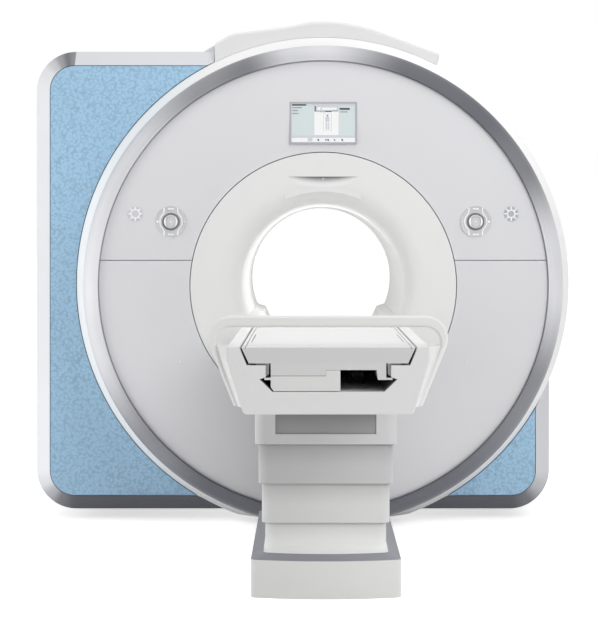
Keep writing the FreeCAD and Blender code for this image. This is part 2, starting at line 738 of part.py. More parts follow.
def gradient_coil():
    """Cast annulus with a ring of shim pockets in each end."""
    coil = turned([
        (COIL_R, -GRADIENT_HALF), (VESSEL_BORE_R, -GRADIENT_HALF),
        (VESSEL_BORE_R, GRADIENT_HALF), (COIL_R, GRADIENT_HALF),
    ])
    middle = (COIL_R + VESSEL_BORE_R) / 2
    y0 = -GRADIENT_HALF - 1
    depth = 120.0
    for i in range(COIL_RUNGS):
        pocket = block(middle - 10, middle + 10, y0, y0 + depth, AXIS_Z - 25, AXIS_Z + 25)
        pocket.rotate(AXIS, ALONG_Y, 360.0 * (i + 0.5) / COIL_RUNGS)
        coil = coil.cut(pocket)
    return coil


def body_coil():
    """Birdcage on a thin tube: two end rings joined by rungs."""
    former_r = BORE_R + SKIN
    skin_r = former_r + 4
    ring = 40.0
    coil = turned([(former_r, -COIL_HALF), (skin_r, -COIL_HALF), (skin_r, COIL_HALF), (former_r, COIL_HALF)])
    pieces = [turned([(skin_r, y), (COIL_R, y), (COIL_R, y + ring), (skin_r, y + ring)])
              for y in (-COIL_HALF, COIL_HALF - ring)]
    for i in range(COIL_RUNGS):
        rung = block(former_r + 2, COIL_R - 2, -COIL_HALF + 10, COIL_HALF - 10, AXIS_Z - 15, AXIS_Z + 15)
        rung.rotate(AXIS, ALONG_Y, 360.0 * i / COIL_RUNGS)
        pieces.append(rung)
    return coil.fuse(pieces).removeSplitter()


# ---- screen and controls ----

def screen_bezel():
    """Frame of the screen, open at the back."""
    w = SCREEN_WIDTH / 2
    h = SCREEN_HEIGHT / 2
    rim = SCREEN_RIM
    y0 = FRONT - 2
    frame = block(-w, w, y0, y0 + 32, SCREEN_Z - h, SCREEN_Z + h)
    frame = softened(frame, 1.5, lambda e, p: abs(p.y - y0) < 0.01)
    glass_room = block(-w + rim, w - rim, y0 - 1, y0 + 8, SCREEN_Z - h + rim, SCREEN_Z + h - rim)
    w -= rim + 6
    h -= rim + 6
    back_room = block(-w, w, y0 + 7, y0 + 28, SCREEN_Z - h, SCREEN_Z + h)
    return frame.cut(glass_room).cut(back_room)


def screen_glass():
    w = SCREEN_WIDTH / 2 - SCREEN_RIM
    h = SCREEN_HEIGHT / 2 - SCREEN_RIM
    return block(-w, w, FRONT - 0.5, FRONT + 6, SCREEN_Z - h, SCREEN_Z + h)


def waisted(end_half, middle_half, height, y0, y1):
    """Barrel-shaped plate, wider at the middle than at its ends, centred on the left dial."""
    x, z = -DIAL_X, DIAL_Z
    path = [
        (x + end_half, z - height), ((x + middle_half, z), (x + end_half, z + height)),
        (x - end_half, z + height), ((x - middle_half, z), (x - end_half, z - height)),
    ]
    return along_y(path, y0, y1)


def control_dish():
    """Round dish with a well for the dial, two waisted ridges and pockets for the up and down keys."""
    x, z = -DIAL_X, DIAL_Z
    floor_y = FRONT + DISH_SINK
    back = FRONT + 30
    hollow = (0.45 * DISH_R, floor_y)
    rim = (DISH_R - 2, FRONT + 1)
    slope = bowed(hollow, (0.75 * DISH_R, floor_y - 0.3 * DISH_SINK), rim, 3)
    dish = turned_at(x, z, [(0, floor_y), hollow] + slope + [(DISH_R, FRONT + 1), (DISH_R, back), (0, back)])
    end_half = 0.477 * DISH_R
    middle_half = 0.777 * DISH_R
    ridge_width = 5.0
    ridge = waisted(end_half, middle_half, 0.92 * DISH_R, FRONT + 0.5, floor_y + 4)
    ridge = ridge.cut(waisted(end_half - ridge_width, middle_half - ridge_width, 0.95 * DISH_R,
                              FRONT - CUT_PAST, floor_y + 8))
    ridge = ridge.common(rod_y(x, z, DISH_R, FRONT - CUT_PAST, back))
    dish = dish.fuse(ridge).removeSplitter()
    dish = dish.cut(rod_y(x, z, DIAL_WELL_R, FRONT - CUT_PAST, FRONT + 22))
    w = SLOT_HALF + KEY_GAP
    h = SLOT_HIGH / 2 + KEY_GAP
    for sign in (-1, 1):
        mid = z + sign * SLOT_Z
        dish = dish.cut(along_y(rounded(x - w, x + w, mid - h, mid + h, 3), FRONT - CUT_PAST, FRONT + 20))
    return dish.cut(rod_y(x, z, SHAFT_R + RUN_FIT, FRONT, back + 1))


def control_dial():
    """Turning ring with two finger lugs and a hollow shaft."""
    x, z = -DIAL_X, DIAL_Z
    front = FRONT - 6
    ring = turned_at(x, z, [
        (CAP_R + RUN_FIT * 4, front + 3), (DIAL_R - 6, front), (DIAL_R - 2, front + 1.5),
        (DIAL_R, front + 5), (DIAL_R, FRONT + 18),
        (SHAFT_R, FRONT + 18), (SHAFT_R, FRONT + 40), (STEM_R + RUN_FIT, FRONT + 40),
        (STEM_R + RUN_FIT, FRONT + 14),
        (CAP_R + RUN_FIT * 4, FRONT + 14),
    ])
    for lug_x in (x - DIAL_R + 5, x + DIAL_R - 5):
        ring = ring.fuse(block(lug_x - 2.5, lug_x + 2.5, front - 3, front + 6, z - 9, z + 9))
    return ring.removeSplitter()


def dial_cap():
    """Push button in the middle of the dial, with its stem."""
    x, z = -DIAL_X, DIAL_Z
    front = FRONT - 4
    return turned_at(x, z, [
        (0, front + 1.5), (CAP_R * 0.6, front + 0.8), (CAP_R - 1, front), (CAP_R, front + 1),
        (CAP_R, FRONT + 10), (STEM_R, FRONT + 10), (STEM_R, FRONT + 36), (0, FRONT + 36),
    ])


def arrow_key(sign):
    """Bar-shaped push key above (1) or below (-1) the left dial."""
    x = -DIAL_X
    mid = DIAL_Z + sign * SLOT_Z
    h = SLOT_HIGH / 2
    return along_y(rounded(x - SLOT_HALF, x + SLOT_HALF, mid - h, mid + h, 3), FRONT + 1, FRONT + 16)


def round_key(side):
    """Large membrane key: slightly domed disc."""
    x, z = side * KEY_X, KEY_Z
    face = cover_y(math.hypot(KEY_X, KEY_Z - AXIS_Z)) - 1.0
    return turned_at(x, z, [
        (0, face - 1.5), (KEY_R * 0.6, face - 1), (KEY_R - 1, face), (KEY_R, face + 1),
        (KEY_R, FRONT + 22), (0, FRONT + 22),
    ])


# ---- table ----

def table_outer(skin):
    """Table's section: straight rims, then flanks that draw in to a rounded belly."""
    half = [
        (TABLE_HALF - skin, TABLETOP_Z - skin, 0), (TABLE_HALF - skin, TABLE_KNEE_Z, 30),
        (TABLE_LOW_HALF - skin, TABLE_BOTTOM + skin, 14 - skin),
    ]
    return eased(mirrored_x(half))


def recess_half():
    """Right half of the recess that the tabletop runs in, from the rim down to the floor."""
    rim = TABLETOP_HALF + TABLETOP_GAP
    low = TABLETOP_LOW_HALF + TABLETOP_GAP
    shoulder = TABLETOP_UNDER - TABLETOP_GAP
    return [
        (rim, TABLETOP_Z), (low, shoulder), (STEM_HALF + 15, shoulder), (STEM_HALF + 15, LEG_Z + 8),
        (HOOK_REACH + 15, LEG_Z + 2), (STEM_HALF - 5, CHANNEL_FLOOR),
    ]


def recess(y0, y1, rise):
    half = recess_half()
    flank = (half[0][0] - half[1][0]) / (half[0][1] - half[1][1])
    half[0] = (half[0][0] + flank * rise, half[0][1] + rise)
    return along_y(mirrored_x(half), y0, y1)


def table_shell():
    """Bucket-shaped shell with a closed far end; the tabletop recess is open at the top."""
    y0 = TABLE_NEAR + END_CAP
    outer = along_y(table_outer(0), y0, TABLE_FAR)
    inner = along_y(table_outer(TABLE_SKIN), y0 - 1, TABLE_FAR - TABLE_SKIN)
    return outer.cut(inner).cut(recess(y0 - 1, TABLE_FAR + 1, 10))


def trough_outer():
    """Right half of the channel profile's outside, a wall thicker than the recess in it."""
    wall = CHANNEL_WALL
    top = TABLETOP_Z - TABLE_SKIN
    shoulder = TABLETOP_UNDER - TABLETOP_GAP - wall
    rim = TABLETOP_HALF + TABLETOP_GAP + wall
    flank = HOOK_REACH + 15 + wall
    return [
        (rim, top), (rim - TABLETOP_FLANK, shoulder), (flank, shoulder), (flank, LEG_Z - 2),
        (STEM_HALF, CHANNEL_FLOOR - wall),
    ]


def table_trough():
    """Channel profile on cross ribs, with cheeks that carry the two belt pulleys."""
    y0 = TABLE_NEAR + END_CAP
    y1 = TABLE_FAR - TABLE_SKIN
    profile = along_y(mirrored_x(trough_outer()), y0, y1)
    rib_half = TABLE_LOW_HALF - 43
    ribs = []
    count = 7
    for i in range(count):
        y = y0 + 40 + i * (y1 - y0 - 90) / (count - 1)
        ribs.append(block(-rib_half, rib_half, y, y + 10, TABLE_BOTTOM + TABLE_SKIN, CHANNEL_FLOOR - 6))
    body = profile.fuse(ribs).cut(recess(y0 - 1, y1 + 1, 10)).removeSplitter()
    inner = BELT_WIDTH / 2 + CHEEK_GAP
    outer = inner + CHEEK
    for y in (PULLEY_NEAR, PULLEY_FAR):
        for x in (PULLEY_X - outer, PULLEY_X + inner):
            body = body.fuse(block(x, x + CHEEK, y - 14, y + 14, CHANNEL_FLOOR - 4, PULLEY_Z + 12))
        bearing = rod_x(y, PULLEY_Z, PULLEY_SHAFT_R + RUN_FIT, PULLEY_X - outer - 1, PULLEY_X + outer + 1)
        body = body.cut(bearing)
    return body.removeSplitter()


def belt_pulley(y):
    """Flanged pulley on its axle, at one end of the channel."""
    half = BELT_WIDTH / 2 + 1
    rim = 2.0
    wheel = rod_x(y, PULLEY_Z, PULLEY_R, PULLEY_X - half, PULLEY_X + half)
    for x in (PULLEY_X - half - rim, PULLEY_X + half):
        wheel = wheel.fuse(rod_x(y, PULLEY_Z, PULLEY_R + PULLEY_RIM, x, x + rim))
    reach = BELT_WIDTH / 2 + CHEEK_GAP + CHEEK - 1
    axle = rod_x(y, PULLEY_Z, PULLEY_SHAFT_R, PULLEY_X - reach, PULLEY_X + reach)
    return wheel.fuse(axle).removeSplitter()


def drive_belt():
    """Closed flat belt round both pulleys."""
    def loop(r, x0, x1):
        low = PULLEY_Z - r
        high = PULLEY_Z + r
        path = [
            (PULLEY_NEAR, high), (PULLEY_FAR, high), ((PULLEY_FAR + r, PULLEY_Z), (PULLEY_FAR, low)),
            (PULLEY_NEAR, low), ((PULLEY_NEAR - r, PULLEY_Z), (PULLEY_NEAR, high)),
        ]
        return outline(path, lambda y, z: Vector(x0, y, z)).extrude(Vector(x1 - x0, 0, 0))

    inner = PULLEY_R + BELT_GAP
    half = BELT_WIDTH / 2
    band = loop(inner + BELT_WALL, PULLEY_X - half, PULLEY_X + half)
    return band.cut(loop(inner, PULLEY_X - half - 1, PULLEY_X + half + 1))


def guide_rails():
    """Angle rails in the recess: glide face on the shoulder, round nose beside the carrier."""
    shoulder = TABLETOP_UNDER - TABLETOP_GAP
    glide = TABLETOP_UNDER - GLIDE_GAP
    nose = STEM_HALF + 6
    wall = STEM_HALF + 15
    path = [
        (wall, LEG_Z + 10), ((nose + 1.5, LEG_Z + 13), (nose, LEG_Z + 18)), (nose, shoulder - 6),
        ((nose + 1.5, glide - 1.5), (nose + 8, glide)),
        (wall + 30, glide), (wall + 30, shoulder), (wall, shoulder),
    ]
    rail = along_y(path, TABLE_NEAR + END_CAP, TABLE_FAR)
    return Part.makeCompound([rail, mirror_x(rail)])


def table_end_cap():
    """Flat end plate with the section of the tabletop cut through it."""
    plate = along_y(table_outer(0), TABLE_NEAR, TABLE_NEAR + END_CAP)
    plate = softened(plate, 5.0, lambda e, p: abs(p.y - TABLE_NEAR) < 0.01 and p.z < TABLETOP_Z - 1)
    return plate.cut(recess(TABLE_NEAR - 1, TABLE_NEAR + END_CAP + 1, 10))


def loop_corners(side, bar, r):
    """Legs that spread upwards and a straight bar, moved inwards by a side and a bar width."""
    foot = (LOOP_FOOT_HALF - side, LOOP_FOOT_Z, 0)
    top = LOOP_TOP - bar
    shoulder = (foot[0] + LOOP_SPREAD * (top - LOOP_FOOT_Z), top, r)
    return [foot, shoulder, (-shoulder[0], top, r), (-foot[0], LOOP_FOOT_Z, 0)]


def loop_bead():
    """Rounded bead that runs up one leg, over the bar and down the other leg."""
    outer = loop_corners(0, 0, LOOP_CORNER)
    inner = loop_corners(LOOP_SIDE, LOOP_BAR, LOOP_CORNER - 22)
    y0 = LOOP_Y - LOOP_DEPTH / 2
    bead = along_y(eased(outer + inner[::-1]), y0, y0 + LOOP_DEPTH)
    face = LOOP_DEPTH / 2 - 0.01
    return chamfered(bead, LOOP_EDGE, lambda p: abs(p.y - LOOP_Y) > face and p.z > LOOP_FOOT_Z + 1)


def loop_cheek():
    """Flared cheek between the table's flank and the right leg of the loop."""
    top = TABLETOP_Z + 2
    near = LOOP_Y - 60
    far = LOOP_Y + LOOP_DEPTH / 2 - 4
    flank = (TABLE_HALF - TABLE_LOW_HALF) / (TABLE_KNEE_Z - TABLE_BOTTOM)
    low_x = TABLE_LOW_HALF + flank * (LOOP_FOOT_Z - TABLE_BOTTOM)
    inner = [(TABLE_HALF, top), (TABLE_HALF, TABLE_KNEE_Z), (low_x, LOOP_FOOT_Z)]
    leg = [(LOOP_FOOT_HALF - 6 + LOOP_SPREAD * (z - LOOP_FOOT_Z), z) for x, z in reversed(inner)]
    lip = [(x + 2, z) for x, z in reversed(inner)]
    thin = outline(inner + lip, lambda x, z: Vector(x, near, z))
    wide = outline(inner + leg, lambda x, z: Vector(x, LOOP_Y, z))
    flare = Part.makeLoft([thin.OuterWire, wide.OuterWire], True, True)
    return flare.fuse(wide.extrude(Vector(0, far - LOOP_Y, 0)))


def end_loop():
    """One-piece handle loop round the foot end of the table."""
    cheek = loop_cheek()
    return loop_bead().fuse([cheek, mirror_x(cheek)]).removeSplitter()


def tabletop_board():
    """Board with bevelled flanks, a drain groove on each side and strap slots."""
    path = mirrored_x([(TABLETOP_HALF, TABLETOP_Z), (TABLETOP_LOW_HALF, TABLETOP_UNDER)])
    board = along_y(path, TABLE_NEAR, TABLETOP_FAR)
    board = softened(board, 1.5, lambda e, p: p.z > TABLETOP_Z - 0.01 and e.Length > 400)
    groove = TABLETOP_HALF - GROOVE_INSET
    slot = TABLETOP_HALF - SLOT_INSET
    above = TABLETOP_Z + 1
    for side in (-1, 1):
        x = side * groove
        board = board.cut(block(x - 1.5, x + 1.5, TABLE_NEAR - 1, TABLETOP_FAR + 1, TABLETOP_Z - 7, above))
        x = side * slot
        for start in STRAP_STARTS:
            y = TABLE_NEAR + start
            board = board.cut(block(x - 2, x + 2, y, y + STRAP_SLOT, TABLETOP_Z - 9, above))
    return board


def tabletop_carrier():
    """Extruded carrier under the board: deck, two legs and hooks that run under the rails."""
    top = TABLETOP_UNDER
    leg = STEM_HALF - LEG_WIDTH
    hook_top = LEG_Z + HOOK_THICK
    side = [
        (STEM_HALF, top), (STEM_HALF, hook_top), (HOOK_REACH, hook_top), (HOOK_REACH, LEG_Z), (leg, LEG_Z),
    ]
    deck = [
        (leg - 4, STEM_Z), (CARRIAGE_STEP, STEM_Z), (CARRIAGE_STEP, DECK_STEP_Z), (4 - leg, DECK_STEP_Z),
    ]
    path = side + deck + [(-x, z) for x, z in reversed(side)]
    carrier = along_y(path, TABLE_NEAR, TABLETOP_FAR)
    room = block(-HOOK_REACH - 1, 0, TABLE_NEAR - 1, TABLE_NEAR + CARRIAGE_LENGTH, LEG_Z - 1, DECK_STEP_Z)
    clamp_y = PULLEY_NEAR + 8
    clamp_z = PULLEY_Z + PULLEY_R + BELT_GAP + BELT_WALL + 0.5
    clamp = block(PULLEY_X - 12, PULLEY_X + 12, clamp_y, clamp_y + 40, clamp_z, STEM_Z + 4)
    return carrier.cut(room).fuse(clamp).removeSplitter()


def carriage_unit():
    """Closed box at the foot end, let into the carrier's left side."""
    floor = CHANNEL_FLOOR + 2
    hook_top = LEG_Z + HOOK_THICK
    path = [
        (9 - STEM_HALF, floor), (CARRIAGE_RIGHT, floor), (CARRIAGE_RIGHT, STEM_Z), (CARRIAGE_STEP, STEM_Z),
        (CARRIAGE_STEP, DECK_STEP_Z), (-STEM_HALF, DECK_STEP_Z), (-STEM_HALF, hook_top),
        (-HOOK_REACH, hook_top), (-HOOK_REACH, LEG_Z), (-STEM_HALF, LEG_Z), (-STEM_HALF, floor + 12),
    ]
    box = along_y(path, TABLE_NEAR, TABLE_NEAR + CARRIAGE_LENGTH)
    return softened(box, 1.0, lambda e, p: abs(p.y - TABLE_NEAR) < 0.01 and abs(p.z - LEG_Z) > 7)


# ---- pedestal ----

def plinth_plan(inset, z0, z1):
    """Prism on the plinth's plan: a bowed near edge and rounded upright corners."""
    half = PLINTH_HALF - inset
    near = PLINTH_NEAR + inset
    far = PLINTH_FAR - inset
    shoulder = near + PLINTH_BOW
    path = [(half, shoulder), (half, far), (-half, far), (-half, shoulder), ((0, near), (half, shoulder))]
    solid = upright(path, z0, z1)
    side = half - 0.01
    height = z1 - z0
    return softened(solid, PLINTH_CORNER, lambda e, p: abs(p.x) > side and abs(e.Length - height) < 0.01)


def plinth_wire(inset, z):
    floor = min(plinth_plan(inset, z, z + 1).Faces, key=lambda face: face.CenterOfMass.z)
    return floor.OuterWire


def table_plinth():
    """Moulded plinth cover, open underneath, with a wide window in its top."""
    cover = plinth_plan(0, 0, PLINTH_HEIGHT).cut(plinth_plan(TABLE_SKIN, -1, PLINTH_HEIGHT - TABLE_SKIN))
    return cover.cut(plinth_plan(TRIM_WIDTH + 20, 0, PLINTH_HEIGHT + 1))


def plinth_trim():
    """Bevelled frame on the plinth, rising inwards."""
    top = PLINTH_HEIGHT + TRIM_RISE
    frame = Part.makeLoft([plinth_wire(1, PLINTH_HEIGHT), plinth_wire(TRIM_WIDTH, top)], True, True)
    return frame.cut(plinth_plan(TRIM_WIDTH, PLINTH_HEIGHT - 1, top + 1))


def plinth_plate():
    plate = plinth_plan(TRIM_WIDTH + 0.5, PLINTH_HEIGHT, PLINTH_HEIGHT + TRIM_RISE)
    return plate.cut(upright(sleeve_plan(3, SLEEVE_SKIN), PLINTH_HEIGHT - 1, PLINTH_HEIGHT + TRIM_RISE + 1))


def base_plate():
    """Steel floor plate under the lift cylinders, with four anchor holes."""
    half = COLUMN_HALF - 21
    near = COLUMN_NEAR + 40
    far = COLUMN_FAR - 20
    plate = block(-half, half, near, far, 0, BASE_PLATE)
    for x in (30 - half, half - 30):
        for y in (near + 40, far - 40):
            plate = plate.cut(rod_z(x, y, ANCHOR_R, -1, BASE_PLATE + 1))
    return plate


def sleeve_plan(step, inset):
    """Plan of a sleeve: 0 is the top one, 3 the fixed one at the foot."""
    inward = step * COLUMN_STEP + inset
    half = COLUMN_HALF - inward
    return rounded(-half, half, COLUMN_NEAR + inward, COLUMN_FAR - inward, COLUMN_CORNER - inset)


def sleeve(step, z0, z1):
    inside = upright(sleeve_plan(step, SLEEVE_SKIN), z0 - 1, z1 + 1)
    return upright(sleeve_plan(step, 0), z0, z1).cut(inside)


def column_sleeve_4():
    """Top sleeve, fixed under the table, with a window and the dark panel set back behind it."""
    z0 = SLEEVE_EDGES[0]
    window_z = z0 + WINDOW_SILL
    body = sleeve(0, z0, TABLE_BOTTOM)
    roof_z = TABLE_BOTTOM - SLEEVE_SKIN
    past = COLUMN_NEAR + 2 * SLEEVE_SKIN
    body = body.cut(block(-WINDOW_HALF, WINDOW_HALF, COLUMN_NEAR - 1, past, window_z, roof_z))
    roof = upright(sleeve_plan(0, 1), roof_z, TABLE_BOTTOM)
    inset_y = COLUMN_NEAR + WINDOW_SINK
    w = WINDOW_HALF + 2
    back = block(-w, w, inset_y, inset_y + SLEEVE_SKIN, window_z - 5, roof_z)
    return body.fuse([roof, back]).removeSplitter()


def column_sleeve(step):
    """Moving sleeve between the top one and the fixed one."""
    z0 = SLEEVE_EDGES[step]
    return sleeve(step, z0, z0 + SLEEVE_HEIGHT)


def column_sleeve_1():
    """Fixed lowest sleeve, standing on the plinth's plate with a flared foot."""
    z0 = PLINTH_HEIGHT + TRIM_RISE
    tube = sleeve(3, z0, SLEEVE_EDGES[2] + 89)
    top = z0 + SLEEVE_FOOT
    low = outline(sleeve_plan(3, -SLEEVE_FOOT / 2), lambda x, y: Vector(x, y, z0)).OuterWire
    high = outline(sleeve_plan(3, 0), lambda x, y: Vector(x, y, top)).OuterWire
    flare = Part.makeLoft([low, high], True, True)
    flare = flare.cut(upright(sleeve_plan(3, SLEEVE_SKIN), z0 - 1, top + 1))
    return tube.fuse(flare).removeSplitter()


def lift_places():
    middle = (COLUMN_NEAR + COLUMN_FAR) / 2
    return [middle - LIFT_SPACING / 2, middle + LIFT_SPACING / 2]


def cup(y, r, bore, z0, z1, floor):
    """Cylinder closed at the bottom."""
    return rod_z(0, y, r, z0, z1).cut(rod_z(0, y, bore, z0 + floor, z1 + 1))


def lift_barrels():
    """Fixed outer cylinders of the two-stage lift, each with a foot flange."""
    barrels = []
    for y in lift_places():
        barrel = cup(y, BARREL_R, STAGE_R + RUN_FIT, BASE_PLATE, BARREL_TOP, BARREL_FLOOR)
        foot = cup(y, BARREL_R + BARREL_FLANGE, BARREL_R - 2, BASE_PLATE, BASE_PLATE + 14, 0)
        barrels.append(barrel.fuse(foot).removeSplitter())
    return Part.makeCompound(barrels)


def stage_bottom():
    """Lowest point of the middle stages with the lift up; they sink half as far as the table."""
    return BASE_PLATE + BARREL_FLOOR + STAGE_REST + LIFT_TRAVEL / 2


def lift_stages():
    bottom = stage_bottom()
    top = bottom + STAGE_LENGTH
    stages = [cup(y, STAGE_R, RAM_R + RUN_FIT, bottom, top, STAGE_FLOOR) for y in lift_places()]
    return Part.makeCompound(stages)


def lift_rams():
    """Chromed rams that carry the top sleeve's roof."""
    top = TABLE_BOTTOM - SLEEVE_SKIN
    bottom = stage_bottom() + LIFT_TRAVEL / 2 + STAGE_FLOOR + 4
    return Part.makeCompound([rod_z(0, y, RAM_R, bottom, top) for y in lift_places()])


def right_of(shape):
    """Copy of a left-hand control moved to the right-hand place."""
    moved = shape.copy()
    moved.translate(Vector(2 * DIAL_X, 0, 0))
    return moved


def build():
    panel = side_panel()
    rear = rear_wing()
    dish = control_dish()
    dial = control_dial()
    cap = dial_cap()
    up = arrow_key(1)
    down = arrow_key(-1)
    return {
        "magnet_vessel": magnet_vessel(),
        "magnet_cradle": magnet_cradle(),
        "cold_head": cold_head(),
        "gradient_coil": gradient_coil(),
        "body_coil": body_coil(),
        "bore_liner": bore_liner(),
        "bore_bridge": bore_bridge(),
        "front_funnel": front_funnel(),
        "rear_funnel": mirror_y(quartered(turned(funnel_path()))),
        "front_cover_upper": front_cover_upper(),
        "front_cover_lower": front_cover_lower(),
        "cover_screws": cover_screws(),
        "rear_cover": mirror_y(above_floor(turned(rear_cover_path()))),
        "front_ring": turned(ring_path()),
        "front_drum": front_drum(),
        "rear_drum": mirror_y(front_drum()),
        "housing_band": housing_band(),
        "wing_frame_left": wing_frame_left(),
        "wing_frame_right": wing_frame_right(),
        "side_panel_left": left_part(panel),
        "side_panel_right": right_part(panel),
        "rear_wings": Part.makeCompound([left_part(rear), right_part(rear)]),
        "turret_cover": turret_cover(),
        "brow_light": brow_light(),
        "screen_bezel": screen_bezel(),
        "screen_glass": screen_glass(),
        "control_dish_left": dish,
        "control_dish_right": right_of(dish),
        "control_dial_left": dial,
        "control_dial_right": right_of(dial),
        "dial_cap_left": cap,
        "dial_cap_right": right_of(cap),
        "up_key_left": up,
        "up_key_right": right_of(up),
        "down_key_left": down,
        "down_key_right": right_of(down),
        "light_key": round_key(-1),
        "fan_key": round_key(1),
        "table_plinth": table_plinth(),
        "plinth_trim": plinth_trim(),
        "plinth_plate": plinth_plate(),
        "base_plate": base_plate(),
        "column_sleeve_1": column_sleeve_1(),
        "column_sleeve_2": column_sleeve(2),
        "column_sleeve_3": column_sleeve(1),
        "column_sleeve_4": column_sleeve_4(),
        "lift_barrels": lift_barrels(),
        "lift_stages": lift_stages(),
        "lift_rams": lift_rams(),
        "table_shell": table_shell(),
        "table_trough": table_trough(),
        "guide_rails": guide_rails(),
        "table_end_cap": table_end_cap(),
        "end_loop": end_loop(),
        "drive_belt": drive_belt(),
        "near_pulley": belt_pulley(PULLEY_NEAR),
        "far_pulley": belt_pulley(PULLEY_FAR),
        "tabletop_board": tabletop_board(),
        "tabletop_carrier": tabletop_carrier(),
        "carriage_unit": carriage_unit(),
    }


os.makedirs("parts", exist_ok=True)
for name, shape in build().items():
    shape.exportStep("parts/" + name + ".step")
    print(f"{name:20s} solids {len(shape.Solids)} valid {shape.isValid()} volume {shape.Volume / 1e6:9.3f} l")
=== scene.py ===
import json
import math

import bmesh
import bpy
from bpy.props import FloatProperty, FloatVectorProperty, IntProperty, PointerProperty
from mathutils import Matrix, Vector

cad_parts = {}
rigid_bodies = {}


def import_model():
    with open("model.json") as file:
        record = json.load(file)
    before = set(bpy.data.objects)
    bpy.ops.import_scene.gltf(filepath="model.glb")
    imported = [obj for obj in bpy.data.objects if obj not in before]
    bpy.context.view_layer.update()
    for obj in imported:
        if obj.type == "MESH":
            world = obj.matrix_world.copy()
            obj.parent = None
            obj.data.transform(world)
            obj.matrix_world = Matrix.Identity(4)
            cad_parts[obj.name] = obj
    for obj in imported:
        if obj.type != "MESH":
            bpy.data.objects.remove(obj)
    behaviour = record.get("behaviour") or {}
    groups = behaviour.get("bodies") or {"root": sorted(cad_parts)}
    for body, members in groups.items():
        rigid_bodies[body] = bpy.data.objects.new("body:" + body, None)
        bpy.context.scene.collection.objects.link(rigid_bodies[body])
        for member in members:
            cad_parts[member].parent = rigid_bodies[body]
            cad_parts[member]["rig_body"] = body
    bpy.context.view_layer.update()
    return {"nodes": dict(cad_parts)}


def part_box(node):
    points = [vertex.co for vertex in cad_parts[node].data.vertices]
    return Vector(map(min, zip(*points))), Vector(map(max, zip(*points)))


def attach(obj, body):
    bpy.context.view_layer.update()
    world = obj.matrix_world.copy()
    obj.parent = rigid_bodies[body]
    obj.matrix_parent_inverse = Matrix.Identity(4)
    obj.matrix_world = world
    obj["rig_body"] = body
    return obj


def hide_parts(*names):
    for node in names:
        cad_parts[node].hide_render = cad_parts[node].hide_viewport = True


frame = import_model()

bl_info = {
    "name": "Bore scanner and patient table",
    "version": (1, 0, 0),
    "blender": (4, 5, 0),
    "location": "3D View > Sidebar > Scanner",
    "description": "Finishes the covers, controls, table and pedestal of a cylindrical-bore scanner",
    "category": "Add Mesh",
}

AXIS_HEIGHT = 1.05     # bore axis above the floor
SPLIT_HEIGHT = 1.157   # joint between the upper and the lower front cover
RING_MOUTH = 0.003     # inner edge of the silver ring, behind the crest of the cover
RING_BACK = 0.059      # back of the silver ring, behind the same crest
FLOOR_GAP = 0.03       # round covers and drums end this far above the floor
BESIDE = 1.2           # clear of the gantry to the left and right
ABOVE = 2.3            # clear of the gantry's roof
BELOW = -0.2           # clear of the floor
FIT = 0.0004           # open gap round a piece that sits in a hole


def linear(red, green, blue):
    """Scene-linear colour from display values of 0 to 255."""
    def channel(value):
        value /= 255
        return value / 12.92 if value <= 0.04045 else ((value + 0.055) / 1.055) ** 2.4
    return tuple(channel(value) for value in (red, green, blue))


def rgba(values):
    """Colour with full opacity."""
    return tuple(values) + (1.0,)


def darker(tint, amount):
    """A colour times an amount below one."""
    return tuple(value * amount for value in tint)


def front_of(node):
    """Depth of a node's foremost point."""
    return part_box(node)[0].y


def middle_of(node):
    """Middle of a node's box."""
    low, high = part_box(node)
    return (low + high) / 2


def radius_of(node):
    """Radius of a round node about the bore axis, from its highest point."""
    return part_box(node)[1].z - AXIS_HEIGHT


# ---- sizes and colours ----

def colour(name, description, *display):
    return FloatVectorProperty(name=name, description=description, subtype="COLOR", size=3,
                               min=0, max=1, default=linear(*display))


def length(name, description, default):
    return FloatProperty(name=name, description=description, unit="LENGTH", subtype="DISTANCE",
                         default=default, precision=4)


def share(name, description, default):
    return FloatProperty(name=name, description=description, subtype="FACTOR", min=0, max=1,
                         default=default)


def power(name, description, default):
    return FloatProperty(name=name, description=description, unit="POWER", default=default)


